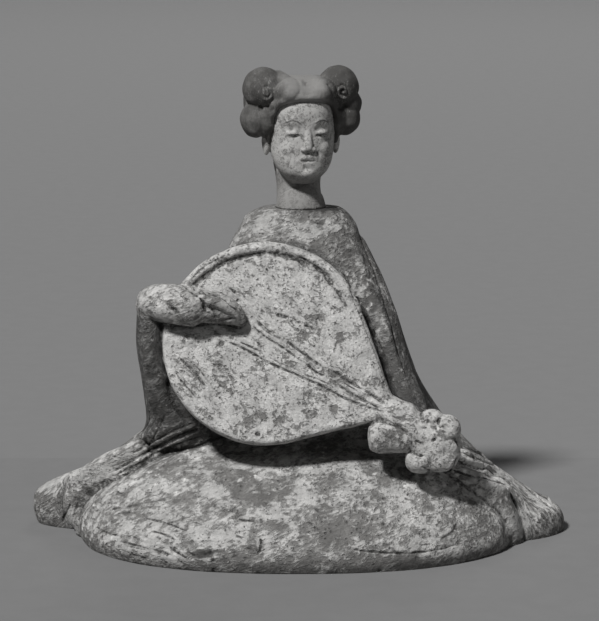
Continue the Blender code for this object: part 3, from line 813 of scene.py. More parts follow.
def normals_of(mesh):
    normals = np.empty(len(mesh.vertices) * 3, np.float32)
    mesh.vertex_normals.foreach_get("vector", normals)
    return normals.reshape(-1, 3).astype(float)


def store(mesh, name, values):
    """Keeps one value for each point, for the materials to read."""
    attribute = mesh.attributes.get(name) or mesh.attributes.new(name, "FLOAT", "POINT")
    attribute.data.foreach_set("value", np.asarray(values, np.float32))


def averaged(values, mesh, passes):
    """The points' values after they are averaged with their neighbours', that many times."""
    ends = np.empty(len(mesh.edges) * 2, np.int32)
    mesh.edges.foreach_get("vertices", ends)
    a, b = ends.reshape(-1, 2).T
    count = len(mesh.vertices)
    degree = np.maximum(np.bincount(a, minlength=count) + np.bincount(b, minlength=count), 1)
    columns = values.reshape(count, -1).T.copy()
    for _ in range(passes):
        for i, column in enumerate(columns):
            total = np.bincount(a, column[b], count) + np.bincount(b, column[a], count)
            columns[i] = (1 - SOFTENING) * column + SOFTENING * total / degree
    return columns.T.reshape(values.shape)


def with_modifiers(piece):
    """Bakes the piece's modifiers into its mesh."""
    graph = bpy.context.evaluated_depsgraph_get()
    mesh = bpy.data.meshes.new_from_object(piece.evaluated_get(graph))
    piece.modifiers.clear()
    old = piece.data
    piece.data = mesh
    bpy.data.meshes.remove(old)
    mesh.name = piece.name


def fused(name, clay, grid, smooth_passes):
    """The clay's lumps as one skin, softened where they meet."""
    mesh = bpy.data.meshes.new(name)
    clay.to_mesh(mesh)
    clay.free()
    piece = bpy.data.objects.new(name, mesh)
    bpy.context.scene.collection.objects.link(piece)
    remesh = piece.modifiers.new("Fuse", "REMESH")
    remesh.mode = "VOXEL"
    remesh.voxel_size = grid * PART
    soften = piece.modifiers.new("Soften", "SMOOTH")
    soften.factor = 0.5
    soften.iterations = smooth_passes
    with_modifiers(piece)
    return piece


def trim(piece, level, keep_above):
    """Cuts the piece at this height with a plane and closes the cut."""
    work = bmesh.new()
    work.from_mesh(piece.data)
    cut = bmesh.ops.bisect_plane(
        work,
        geom=work.verts[:] + work.edges[:] + work.faces[:],
        plane_co=(0, 0, level),
        plane_no=(0, 0, -1 if keep_above else 1),
        clear_outer=True,
    )
    rim = [part for part in cut["geom_cut"] if isinstance(part, bmesh.types.BMEdge)]
    bmesh.ops.holes_fill(work, edges=rim)
    work.to_mesh(piece.data)
    work.free()


def thin_out(piece, triangles):
    """Leaves the piece at most about this many triangles, more of them where it is carved."""
    count = sum(len(face.vertices) - 2 for face in piece.data.polygons)
    reduce = piece.modifiers.new("Thin", "DECIMATE")
    reduce.ratio = min(1.0, triangles / count)
    reduce.use_collapse_triangulate = True
    with_modifiers(piece)


def drop_specks(piece):
    """Keeps the one body, and deletes any speck that the fusing left inside the clay."""
    work = bmesh.new()
    work.from_mesh(piece.data)
    left = set(work.verts)
    bodies = []
    while left:
        found = [left.pop()]
        for point in found:
            for edge in point.link_edges:
                other = edge.other_vert(point)
                if other in left:
                    left.remove(other)
                    found.append(other)
        bodies.append(found)
    bodies.sort(key=len)
    specks = [point for body in bodies[:-1] for point in body]
    bmesh.ops.delete(work, geom=specks, context="VERTS")
    work.to_mesh(piece.data)
    work.free()


class Surface:
    """A piece while it is carved: its points, how far each one is to be moved, and how dark its grooves and
    pits are to be, for earth and for painted shade.
    """

    def __init__(self, piece):
        self.mesh = piece.data
        self.points = points_of(self.mesh)
        self.normals = normals_of(self.mesh)
        self.tree = BVHTree.FromObject(piece, bpy.context.evaluated_depsgraph_get())
        self.shift = np.zeros(len(self.points))
        self.grime_and_shade = np.zeros(len(self.points))
        left = LINE_LEFT + LINE_LEFT_SPREAD * knot_noise(self.points, WEAR_LENGTH * PART, WEAR_SEED)
        self.left = np.clip(left, *LINE_LEFT_LIMITS)

    def carve(self, lines, aim, unit, ends=6.0, grime_and_shade=0.0, worn=True):
        """Raises a ridge or cuts a groove along each line. Its half width is in `unit`, its rise in parts."""
        left = self.left if worn else np.ones(len(self.points))
        for line, half_width, rise in lines:
            reach = half_width * unit
            found = laid(self.tree, line, aim, reach * LAID_SPACING)
            if len(found) < 2:
                continue
            chosen, gap, share = near_line(self.points, found, MARK_REACH * reach)
            fade = np.clip(np.minimum(share, 1 - share) * ends, 0, 1)
            mark = fade * left[chosen] * np.exp(-((gap / reach) ** 2))
            self.shift[chosen] += rise * PART * mark
            # A groove is marked darker, for earth in it and for painted shade
            if rise < 0:
                self.grime_and_shade[chosen] = np.maximum(self.grime_and_shade[chosen], grime_and_shade * mark)

    def dot(self, spots, aim, unit, grime_and_shade=0.0):
        """Sinks a pit or raises a lump at each spot: two coordinates, a radius and a rise."""
        for x, z, radius, rise in spots:
            hit = self.tree.ray_cast(*aim(x, z))[0]
            gap = np.linalg.norm(self.points - np.array(hit), axis=1)
            mark = np.exp(-((gap / (radius * unit)) ** 2))
            self.shift += rise * PART * mark
            # A pit is marked darker, for earth in it and for painted shade
            if rise < 0:
                self.grime_and_shade = np.maximum(self.grime_and_shade, grime_and_shade * mark)

    def roughen(self, knots, share=1.0):
        """Makes the surface uneven, as rows of a rise, a cell and a seed say, by this share at each point."""
        for rise, cell, seed in knots:
            self.shift += rise * PART * knot_noise(self.points, cell * PART, seed) * share

    def settle(self):
        """Moves the points, and keeps the darkening of grooves and pits, earth and painted shade, and the
        hollows for the materials.
        """
        moved = (self.points + self.normals * self.shift[:, None]).astype(np.float32)
        self.mesh.vertices.foreach_set("co", moved.ravel())
        self.mesh.update()
        moved, normals = points_of(self.mesh), normals_of(self.mesh)
        for name, passes in HOLLOWS:
            soft = averaged(moved, self.mesh, passes)
            store(self.mesh, name, ((soft - moved) * normals).sum(1) / PART)
        store(self.mesh, "grime_and_shade", self.grime_and_shade)


def region_shares(piece, groups, softness):
    """For each group of lumps, how far each point belongs to it, by which lump is nearest."""
    points = points_of(piece.data)
    gaps = np.empty((len(groups), len(points)))
    for row, tree in enumerate(groups.values()):
        gaps[row] = [tree.find_nearest(point)[3] for point in points]
    weight = np.exp(-(gaps - gaps.min(0)) / softness)
    weight /= weight.sum(0)
    return dict(zip(groups, weight))


def grouped(makers):
    """One clay with every lump, and a search tree for the lumps of each group."""
    whole = bmesh.new()
    trees = {}
    for name, make in makers.items():
        group = bmesh.new()
        make(group)
        trees[name] = BVHTree.FromBMesh(group)
        passing = bpy.data.meshes.new("passing")
        group.to_mesh(passing)
        whole.from_mesh(passing)
        bpy.data.meshes.remove(passing)
        group.free()
    return whole, trees


def make_body():
    def robe(clay):
        slices(clay, ROBE)
        for stations in SKIRT_JOINS:
            sweep(clay, stations, upright=(0, -1, 0))

    def left_sleeve(clay):
        slices(clay, LEFT_SLEEVE)
        slices(clay, SLEEVE_LINING)

    def right_sleeve(clay):
        slices(clay, RIGHT_SLEEVE)
        sweep(clay, FINGERING_ARM)

    def arm(clay):
        sweep(clay, PLUCKING_ARM)

    def hand(clay):
        sweep(clay, PLUCKING_HAND)
        sweep(clay, UPPER_FINGERS)

    makers = (robe, left_sleeve, right_sleeve, arm, hand, lute)
    clay, groups = grouped({make.__name__: make for make in makers})
    body = fused("body", clay, BODY_GRID, BODY_SMOOTH_PASSES)
    surface = Surface(body)
    front = front_sight(Vector)
    nicks = [(line, RIM_NICK_HALF_WIDTH, -RIM_NICK_DEPTH) for line in RIM_NICKS]
    surface.carve(FOLD_LINES, front, PART, grime_and_shade=0.35, worn=False)
    surface.carve([rim_groove()], front, PART, grime_and_shade=0.5)
    surface.carve(BACK_LINES, front_sight(from_behind), PART, worn=False)
    surface.carve(STRINGS, sight, PIXEL, ends=STRING_ENDS, grime_and_shade=0.4)
    surface.carve((*FACE_SCRATCHES, *CUFF_LINES, *LAP_LINES), sight, PIXEL, grime_and_shade=0.8)
    surface.carve((*LEFT_HEM_LINES, *RIGHT_TAIL_LINES), sight, PIXEL, grime_and_shade=0.45, worn=False)
    surface.carve((*SLEEVE_LINES, *nicks), sight, PIXEL, grime_and_shade=0.5)
    surface.carve(PEGBOX_LINES, sight, PIXEL, grime_and_shade=0.7)
    surface.dot(FACE_PITS, sight, PIXEL, grime_and_shade=1.0)
    surface.roughen(BODY_KNOTS)
    gap = np.linalg.norm(surface.points / PART - np.array(PEGBOX[0][0]), axis=1)
    surface.roughen(PEGBOX_KNOTS, np.exp(-((gap / PEGBOX_ROUGH_REACH) ** 4)))
    surface.settle()
    trim(body, 0, keep_above=True)
    trim(body, NECK_SEAT * PART, keep_above=False)
    thin_out(body, BODY_TRIANGLES)
    drop_specks(body)
    paint_body(body, groups)
    return body


# How much slip each part of the body has kept, and how dark its bare clay is
BODY_KEPT = {
    "robe": 0.5,
    "left_sleeve": 0.3,
    "right_sleeve": 0.3,
    "arm": 0.58,
    "hand": 0.5,
    "lute": 0.84,
}
BODY_TONE = {
    "robe": 0.93,
    "left_sleeve": 0.45,
    "right_sleeve": 0.5,
    "arm": 0.95,
    "hand": 0.82,
    "lute": 1.04,
}
# Heights between which the chest, the tails and the hem start and are full, and their change of slip and tone
CHEST_HEIGHTS = (80, 120)
CHEST_CHANGE = (-0.1, -0.12)
TAIL_HEIGHTS = (58, 38)
TAIL_CHANGE = (0.25, 0.5)
HEM_HEIGHTS = (9, 2)
HEM_CHANGE = (-0.2, -0.14)
MOST_TONE = 1.5
BODY_BLUR = 1.2
# Spots seen from the camera: pixel, half width, half height, change of slip, change of tone. Some of them are
# painted light, as said where they stand
BODY_SPOTS = (
    (255, 491, 24, 16, -0.35, -0.05),
    (231, 483, 11, 10, -0.4, 0),
    (212, 489, 14, 9, 0.4, 0),
    (251, 465, 11, 3, 0.8, 0),
    (287, 473.5, 10, 3, 0.8, 0),
    (307, 468.5, 9, 4, 0.8, 0),
    (301, 498.5, 12, 5, 0.8, 0),
    (271, 512.5, 12, 5, 0.7, 0),
    (341, 531, 20, 15, -0.6, 0),
    (312, 562, 19, 8, -0.5, 0),
    (180, 541, 80, 20, 0.25, 0),
    (203, 554, 12, 4, -0.8, -0.5),
    (212, 551.5, 9, 2.6, -0.6, -0.4),
    (220, 562, 12, 5, -0.6, -0.1),
    (206, 560, 12, 2, 0.9, 0.1),
    (398, 562, 22, 9, -0.5, -0.15),
    (545, 503, 13, 9, 0.6, 0.2),
    (520, 520, 18, 14, 0.3, 0.1),
    # This spot lightens the top of the right tail, which the figure shades from the key light: painted light
    (500, 470, 36, 10, 0.3, 0.15),
    (84, 474, 36, 13, 0.35, 0.2),
    (168, 440, 26, 9, 0.2, 0.45),
    (222, 306, 18, 12, 0.1, 0.1),
    (50, 505, 12, 12, -0.35, 0),
    (359, 289, 8, 7, 0.9, 0.3),
    (327, 228, 12, 8, 0.35, 0),
    (140, 500, 44, 30, 0.1, 0),
    (425, 512, 50, 34, 0.15, 0.1),
    (480, 530, 22, 16, -0.3, 0),
    (160, 295, 14, 9, 0.2, 0.1),
    (280, 232, 40, 14, 0.25, 0.1),
    (200, 375, 22, 26, -0.15, 0),
    (120, 452, 30, 8, 0.1, 0.05),
    (168, 300, 26, 14, 0.15, 0.12),
    # This spot lightens the front face of the right sleeve, which faces the key light: painted light
    (380, 326, 7, 24, 0.2, 0.3),
    (388, 438, 14, 13, -0.3, -0.3),
    (322, 209, 24, 2.5, -0.5, -0.6),
    # These two spots lighten the valley between the lap and the right tail, which the lamps leave in shade:
    # painted light
    (490, 488, 26, 12, 0.3, 0.5),
    (470, 466, 24, 9, 0.2, 0.25),
    (300, 250, 60, 7, -0.15, -0.1),
)
# Flakes lost from the lute's face: pixel, half width, half height, and the change that they all make
LUTE_FLAKES = (
    (318, 318, 8, 2.6),
    (321, 332, 6, 3),
    (335, 339, 6, 3),
    (336, 331, 4, 3),
    (306, 336, 5, 2),
    (291, 364.5, 7, 4),
    (262, 415, 3.6, 6),
    (312, 413.5, 7, 5),
    (283.5, 416.5, 7, 5),
    (244, 421.5, 4.5, 4),
    (223, 385, 6, 4),
    (315, 394, 8, 3.5),
    (336, 375, 7, 3),
    (349, 382, 7, 3),
)
FLAKE_CHANGE = (-0.55, 0)
# How ragged the spots are, and the cell in pixels and the seed of that noise
SPOT_RAGGED = 1.3
SPOT_CELL = 3.5
SPOT_SEED = 21


def paint_body(body, groups):
    """Says where slip is kept, how dark the clay is, and which pattern of wear each part has."""
    mesh = body.data
    points = points_of(mesh)
    height = points[:, 2] / PART
    shares = region_shares(body, groups, BODY_BLUR * PART)
    kept = sum(BODY_KEPT[name] * share for name, share in shares.items())
    tone = sum(BODY_TONE[name] * share for name, share in shares.items())
    tail = (shares["left_sleeve"] + shares["right_sleeve"]) * ramp(height, *TAIL_HEIGHTS)
    changes = [
        (CHEST_CHANGE, shares["robe"] * ramp(height, *CHEST_HEIGHTS)),
        (TAIL_CHANGE, tail),
        (HEM_CHANGE, (1 - shares["lute"]) * ramp(height, *HEM_HEIGHTS)),
    ]
    tree = BVHTree.FromObject(body, bpy.context.evaluated_depsgraph_get())
    us, vs, depth = in_photo(points)
    ragged = 1 + SPOT_RAGGED * knot_noise(points, SPOT_CELL * PIXEL, SPOT_SEED)
    for u, v, wide, high, *change in (*BODY_SPOTS, *((*flake, *FLAKE_CHANGE) for flake in LUTE_FLAKES)):
        hit = tree.ray_cast(*sight(u, v))[0]
        near = np.abs(depth - in_photo(np.array([hit]))[2][0]) < 2 * max(wide, high) * PIXEL
        gap = ((us - u) / wide) ** 2 + ((vs - v) / high) ** 2
        changes.append((change, np.exp(-((gap * ragged) ** 2)) * near))
    for (slip_change, tone_change), share in changes:
        kept += slip_change * share
        tone += tone_change * share
    store(mesh, "kept", np.clip(kept, 0, 1))
    store(mesh, "tone", np.clip(tone, 0, MOST_TONE))
    store(mesh, "lute", shares["lute"])
    store(mesh, "tail", tail)


def make_head():
    def hair(clay):
        for table in (CROWN_HAIR, BACK_HAIR):
            slices(clay, table, place=head_place)
        for side in (-1, 1):
            for (x, y, z), radii in HAIR_BUNCHES:
                ball(clay, (side * x, y, z), radii, place=head_place)
        for centre, radii in BUNCH_FILLS:
            ball(clay, centre, radii, place=head_place)
        frame_of_hair = [((-x, y, z), wide, thick) for (x, y, z), wide, thick in HAIR_FRAME[:0:-1]]
        sweep(clay, (*frame_of_hair, *HAIR_FRAME), upright=(0, 1, 0), place=head_place)

    def face(clay):
        sweep(clay, NECK, upright=(1, 0, 0), place=head_place)
        slices(clay, SKULL, place=head_place)
        sweep(clay, NOSE, upright=(0, 1, 0), place=head_place)
        for side in (-1, 1):
            for (x, y, z), radii in (*FACE_LUMPS, EARS):
                ball(clay, (side * x, y, z), radii, place=head_place)

    clay, groups = grouped({"hair": hair, "face": face})
    head = fused("head_and_hair", clay, HEAD_GRID, HEAD_SMOOTH_PASSES)
    surface = Surface(head)
    aim = front_sight(head_place)
    surface.carve((*HEAD_LINES, *both_sides(HEAD_SIDE_LINES)), aim, PART, grime_and_shade=0.3)
    surface.carve(both_sides(rosette_lines()), aim, PART, ends=12, grime_and_shade=0.6)
    surface.roughen(HEAD_KNOTS)
    x, _, z = head_local(surface.points).T
    into_hair = np.maximum(np.abs(x) - HAIR_KNOTS_SIDE, z - HAIR_KNOTS_TOP)
    surface.roughen(HAIR_KNOTS, ramp(into_hair, 0, HAIR_KNOTS_FADE))
    surface.settle()
    trim(head, NECK_SEAT * PART + SEAM_GAP, keep_above=True)
    thin_out(head, HEAD_TRIANGLES)
    drop_specks(head)
    paint_head(head, groups)
    return head


def rosette_lines():
    """The curl on each upper bunch of hair: a groove wound in a spiral, and a ridge inside it."""
    x, z = ROSETTE_MIDDLE
    lines = []
    for start, rise in ((0.0, -ROSETTE_RISE), (math.pi, ROSETTE_RISE)):
        line = []
        for share in np.linspace(0.12, 1, 14):
            turn = start + share * ROSETTE_TURNS * 2 * math.pi
            reach = ROSETTE_REACH * share
            line.append((x + reach * math.cos(turn), z + reach * math.sin(turn)))
        lines.append((line, ROSETTE_HALF_WIDTH, rise))
    return lines


def paint_head(head, groups):
    """Says what is hair and what is face, and draws the thin painted lines of brows, lids and lips."""
    mesh = head.data
    points = points_of(mesh)
    shares = region_shares(head, groups, HEAD_BLUR * PART)
    tree = BVHTree.FromObject(head, bpy.context.evaluated_depsgraph_get())
    aim = front_sight(head_place)
    ink = np.zeros(len(points))
    x, y, z = head_local(points).T
    for line, half_width, strength in (*both_sides((*BROW_LINES, *LID_LINES)), LIP_LINE):
        found = laid(tree, line, aim, INK_SPACING * PART)
        chosen, gap, share = near_line(points, found, 4 * half_width * PART)
        fade = np.clip(np.minimum(share, 1 - share) * INK_ENDS, 0, 1)
        mark = strength * np.exp(-((gap / (half_width * PART * (0.5 + 0.5 * fade))) ** 4)) * fade
        ink[chosen] = np.maximum(ink[chosen], mark)
    for side in (-1, 1):
        (across, up), radius = PUPIL
        hit = tree.ray_cast(*aim(side * across, up))[0]
        gap = np.linalg.norm(points - np.array(hit), axis=1) / (radius * PART)
        ink = np.maximum(ink, PUPIL_INK * np.exp(-(gap**4)))
    aside = np.clip(np.abs(x) / HAIRLINE_HALF, 0, HAIRLINE_MOST)
    over = z - HAIRLINE_TOP + HAIRLINE_FALL * aside**HAIRLINE_ROUND
    on_brow = (y < HAIRLINE_DEPTH) & (np.abs(x) < HAIRLINE_HALF + 3) & (z > HAIRLINE_LOW)
    brow_hair = np.clip(0.5 + over / HAIRLINE_BLUR, 0, 1)
    store(mesh, "hair", np.where(on_brow, np.maximum(shares["hair"], brow_hair), shares["hair"]))
    store(mesh, "ink", ink)
    # Painted shadow: marks the neck under the chin, which the head's material darkens toward bare clay where
    # the chin's shadow falls
    store(mesh, "neck", ramp(z, *NECK_PAINTED_SHADOW) * (1 - shares["hair"]))
    curl = np.hypot(np.abs(x) - ROSETTE_MIDDLE[0], z - ROSETTE_MIDDLE[1]) / (2 * ROSETTE_REACH)
    store(mesh, "curl", np.exp(-(curl**2)) * (y < 0))
    crown = np.exp(-((x / CROWN_HALF) ** 4)) * ramp(z, *CROWN_HEIGHTS)
    # The crown is paler from wear, and the viewer's left side is painted paler where the key light falls:
    # painted light
    store(mesh, "pale_hair", np.clip(crown + LEFT_PAINTED_LIGHT * (x < 0), 0, 1))


# Sockets of the Mix node for each kind of value: the first, the second and the result
MIX_SOCKETS = {"FLOAT": (2, 3, 0), "VECTOR": (4, 5, 1), "RGBA": (6, 7, 2)}


class Graph:
    """Short ways to add nodes to a material or a node group."""

    def __init__(self, tree):
        self.tree = tree

    def node(self, kind, **settings):
        made = self.tree.nodes.new(kind)
        for name, value in settings.items():
            setattr(made, name, value)
        return made

    def link(self, source, target):
        """Links a socket to the target, or sets the target to a plain value."""
        if isinstance(source, (int, float, tuple)):
            target.default_value = source
        else:
            self.tree.links.new(source, target)

    def fed(self, made, values):
        """The node with these values on the inputs of these names or numbers."""
        for name, value in values.items():
            self.link(value, made.inputs[name])
        return made

    def math(self, operation, a, b=0.0, c=0.0):
        made = self.node("ShaderNodeMath", operation=operation)
        return self.fed(made, {0: a, 1: b, 2: c}).outputs[0]

    def times(self, a, b):
        return self.math("MULTIPLY", a, b)

    def plus(self, base, value, amount):
        """The base plus the value times the amount."""
        return self.math("MULTIPLY_ADD", value, amount, base)

    def varied(self, base, noise, amount):
        """The base, moved up and down by a noise that stays round a half."""
        return self.plus(base, self.math("SUBTRACT", noise, 0.5), amount)

    def highest(self, first, *others):
        for other in others:
            first = self.math("MAXIMUM", first, other)
        return first

    def step(self, value, low, high, to_low=0.0, to_high=1.0):
        """The value as it goes from low to high, smoothly, as to_low to to_high."""
        made = self.node("ShaderNodeMapRange", interpolation_type="SMOOTHSTEP")
        ends = {"From Min": low, "From Max": high, "To Min": to_low, "To Max": to_high}
        return self.fed(made, {"Value": value, **ends}).outputs["Result"]

    def over(self, value, edge, start, full):
        """0 while the value is below the edge plus start, 1 above the edge plus full, smooth between."""
        return self.step(value, self.math("ADD", edge, start), self.math("ADD", edge, full))

    def noise(self, vector, scale, detail=3.0, roughness=0.55, distortion=0.0):
        values = {"Vector": vector, "Scale": scale, "Detail": detail}
        values.update({"Roughness": roughness, "Distortion": distortion})
        return self.fed(self.node("ShaderNodeTexNoise"), values).outputs[0]

    def blend(self, kind, share, first, second):
        """The first where the share is 0 and the second where it is 1."""
        one, two, result = MIX_SOCKETS[kind]
        made = self.node("ShaderNodeMix", data_type=kind)
        return self.fed(made, {0: share, one: first, two: second}).outputs[result]

    def mixed(self, share, first, second):
        return self.blend("RGBA", share, first, second)

    def between(self, share, first, second):
        return self.blend("FLOAT", share, first, second)

    def nearer(self, share, first, second):
        return self.blend("VECTOR", share, first, second)

    def scaled(self, vector, factors):
        made = self.node("ShaderNodeVectorMath", operation="MULTIPLY")
        return self.fed(made, {0: vector, 1: factors}).outputs[0]

    def place(self):
        return self.node("ShaderNodeTexCoord").outputs["Object"]

    def parts(self, vector):
        return self.fed(self.node("ShaderNodeSeparateXYZ"), {0: vector}).outputs

    def joined(self, x, y, z):
        return self.fed(self.node("ShaderNodeCombineXYZ"), {0: x, 1: y, 2: z}).outputs[0]

    def attribute(self, name):
        return self.node("ShaderNodeAttribute", attribute_name=name).outputs["Fac"]

    def group(self, tree, **values):
        return self.fed(self.node("ShaderNodeGroup", node_tree=tree), values).outputs


def new_group(name, inputs, outputs):
    """An empty node group. An input is a number with its default, or a vector where that is None."""
    tree = bpy.data.node_groups.new(name, "ShaderNodeTree")
    for label, default in inputs.items():
        kind = "NodeSocketVector" if default is None else "NodeSocketFloat"
        socket = tree.interface.new_socket(label, in_out="INPUT", socket_type=kind)
        if default is not None:
            socket.default_value = default
    for label in outputs:
        tree.interface.new_socket(label, in_out="OUTPUT", socket_type="NodeSocketFloat")
    graph = Graph(tree)
    return graph, graph.node("NodeGroupInput").outputs, graph.node("NodeGroupOutput").inputs


def worn_slip():
    """Where pale slip is left: ragged patches, smaller flakes and fine flecks, worn more as Kept falls."""
    g, given, out = new_group(
        "worn slip",
        {"Vector": None, "Grain": None, "Kept": 0.5, "Size": 90.0, "Fine": 0.5},
        ("Slip", "Thin", "Height"),
    )
    grain, size = given["Grain"], given["Size"]
    patches = g.noise(given["Vector"], size, detail=4, roughness=0.6, distortion=0.4)
    flakes = g.noise(grain, g.times(size, 3.2), detail=4, roughness=0.66, distortion=0.9)
    flecks = g.noise(grain, g.times(size, 8.0), detail=3, roughness=0.7, distortion=0.5)
    level = g.varied(g.between(given["Fine"], patches, flakes), flecks, 0.42)
    edge = g.plus(0.62, given["Kept"], -0.24)
    slip = g.over(level, edge, -0.025, 0.05)
    thin = g.over(level, edge, -0.09, -0.015)
    g.link(slip, out["Slip"])
    g.link(thin, out["Thin"])
    g.link(g.plus(g.times(slip, 0.6), thin, 0.4), out["Height"])
    return g.tree


def crazed_cracks():
    """Short dark cracks that wander through clusters of flaked slip."""
    g, given, out = new_group("crazed cracks", {"Vector": None, "Amount": 0.5}, ("Crack",))
    vector = given["Vector"]
    wander = g.noise(vector, 240.0, detail=4, roughness=0.62, distortion=0.8)
    ridge = g.math("ABSOLUTE", g.math("SUBTRACT", wander, 0.5))
    thin = g.step(ridge, 0.004, 0.018, to_low=1.0, to_high=0.0)
    clusters = g.noise(vector, 95.0, detail=3, roughness=0.6)
    where = g.over(clusters, g.plus(0.68, given["Amount"], -0.3), 0.0, 0.08)
    breaks = g.step(g.noise(vector, 500.0, detail=2), 0.42, 0.55)
    g.link(g.times(g.times(thin, where), breaks), out["Crack"])
    return g.tree


def dirt_and_painted_shade():
    """Dark in grooves and hollows, partly earth and partly painted shade, with loose specks of earth
    elsewhere.
    """
    g, given, out = new_group(
        "settled dirt",
        {"Vector": None, "Grime And Shade": 0.0, "Hollow Fine": 0.0, "Hollow Broad": 0.0, "Specks": 0.5},
        ("Dirt And Shade",),
    )
    vector = given["Vector"]
    worn = g.step(g.noise(vector, 420.0, detail=3, roughness=0.6), 0.35, 0.6, to_low=0.35)
    fine = g.step(given["Hollow Fine"], 0.01, 0.14)
    broad = g.step(given["Hollow Broad"], 0.15, 1.4, to_high=0.7)
    speckle = g.noise(vector, 560.0, detail=2, roughness=0.5)
    cut = g.plus(0.80, g.noise(vector, 75.0, detail=2), -0.22)
    specks = g.times(g.over(speckle, cut, 0.0, 0.05), given["Specks"])
    lines = g.times(g.highest(given["Grime And Shade"], fine), worn)
    g.link(g.highest(lines, broad, specks), out["Dirt And Shade"])
    return g.tree


def brush_streaks():
    """Thin streaks of wiped slip along the grain of the vector, as a value round a half."""
    g, given, out = new_group("brush streaks", {"Vector": None, "Size": 200.0}, ("Streaks",))
    vector, size = given["Vector"], given["Size"]
    coarse = g.noise(vector, size, detail=3, roughness=0.6, distortion=0.2)
    fine = g.noise(vector, g.times(size, 3.1), detail=3, roughness=0.6)
    g.link(g.plus(g.times(coarse, 0.5), fine, 0.5), out["Streaks"])
    return g.tree


def clay_grain():
    """The fine tooth of low-fired clay, with scattered pores, as a height."""
    g, given, out = new_group("clay grain", {"Vector": None, "Pores": 0.5}, ("Height", "Pore"))
    vector = given["Vector"]
    tooth = g.noise(vector, 1500.0, detail=3, roughness=0.65)
    lumps = g.noise(vector, 330.0, detail=3, roughness=0.6)
    cells = g.fed(g.node("ShaderNodeTexVoronoi", feature="F1"), {"Vector": vector, "Scale": 330.0})
    chance = g.fed(g.node("ShaderNodeSeparateColor"), {0: cells.outputs["Color"]}).outputs[0]
    middle = g.step(cells.outputs["Distance"], 0.16, 0.3, to_low=1.0, to_high=0.0)
    hole = g.times(g.times(middle, g.step(chance, 0.80, 0.82)), given["Pores"])
    relief = g.plus(g.times(tooth, 0.35), lumps, 0.8)
    g.link(g.plus(relief, hole, -0.8), out["Height"])
    g.link(hole, out["Pore"])
    return g.tree


# Colours of bare clay, thin slip, thick slip, and of the dark of earth and painted shade, and of dressed hair
# and painted lines
BARE_CLAY = (0.185, 0.181, 0.175, 1)
THIN_SLIP = (0.305, 0.300, 0.291, 1)
THICK_SLIP = (0.53, 0.524, 0.512, 1)
DARK_DIRT_AND_SHADE = (0.036, 0.035, 0.033, 1)
HAIR_PAINT = (0.072, 0.070, 0.067, 1)
# The paler hair colour serves both for worn hair paint and for painted light on the lit side
WORN_AND_LIT_HAIR = (0.24, 0.236, 0.229, 1)
FACE_CLAY = (0.19, 0.186, 0.18, 1)
FACE_SLIP = (0.46, 0.454, 0.442, 1)
INK = (0.02, 0.02, 0.019, 1)
# Cosine and sine of the slope down which the two tails are streaked
TAIL_SLOPE = (0.78, 0.62)


def new_material(name, roughness, bump_strength, bump_height):
    made = bpy.data.materials.new(name)
    made.use_nodes = True
    g = Graph(made.node_tree)
    shader = made.node_tree.nodes["Principled BSDF"]
    g.fed(shader, {"Metallic": 0.0, "Roughness": roughness, "Specular IOR Level": 0.3})
    bump = g.fed(g.node("ShaderNodeBump"), {"Strength": bump_strength, "Distance": bump_height})
    g.link(bump.outputs["Normal"], shader.inputs["Normal"])
    return made, g, shader, bump


def streak_vectors(g, place):
    """Places stretched along the wear: across the lap, down the two tails and along the lute's neck."""
    x, y, z = g.parts(place)
    wide = g.math("ABSOLUTE", x)
    slope_cos, slope_sin = TAIL_SLOPE
    down = g.plus(g.times(wide, slope_cos), z, -slope_sin)
    off = g.plus(g.times(wide, slope_sin), z, slope_cos)
    tail = g.joined(g.times(down, 0.14), off, g.plus(y, g.math("SIGN", x), 0.3))
    fall_cos, fall_sin = math.cos(LUTE_FALL), math.sin(LUTE_FALL)
    along = g.plus(g.times(x, fall_cos), z, -fall_sin)
    across = g.plus(g.times(x, fall_sin), z, fall_cos)
    neck = g.joined(g.times(along, 0.75), across, y)
    lap = g.joined(g.times(x, 0.5), g.times(y, 0.7), g.plus(z, x, -0.3))
    return lap, tail, neck


def dirt_and_shade_on(g, groups, place, broad, specks):
    """Darkening of the piece's own grooves and hollows, partly earth and partly painted shade; `broad` is how
    much its wide hollows count.
    """
    values = {
        "Vector": place,
        "Grime And Shade": g.attribute("grime_and_shade"),
        "Hollow Fine": g.attribute("hollow_fine"),
        "Hollow Broad": g.times(g.attribute("hollow_broad"), broad),
        "Specks": specks,
    }
    return g.group(groups["dirt_and_shade"], **values)["Dirt And Shade"]


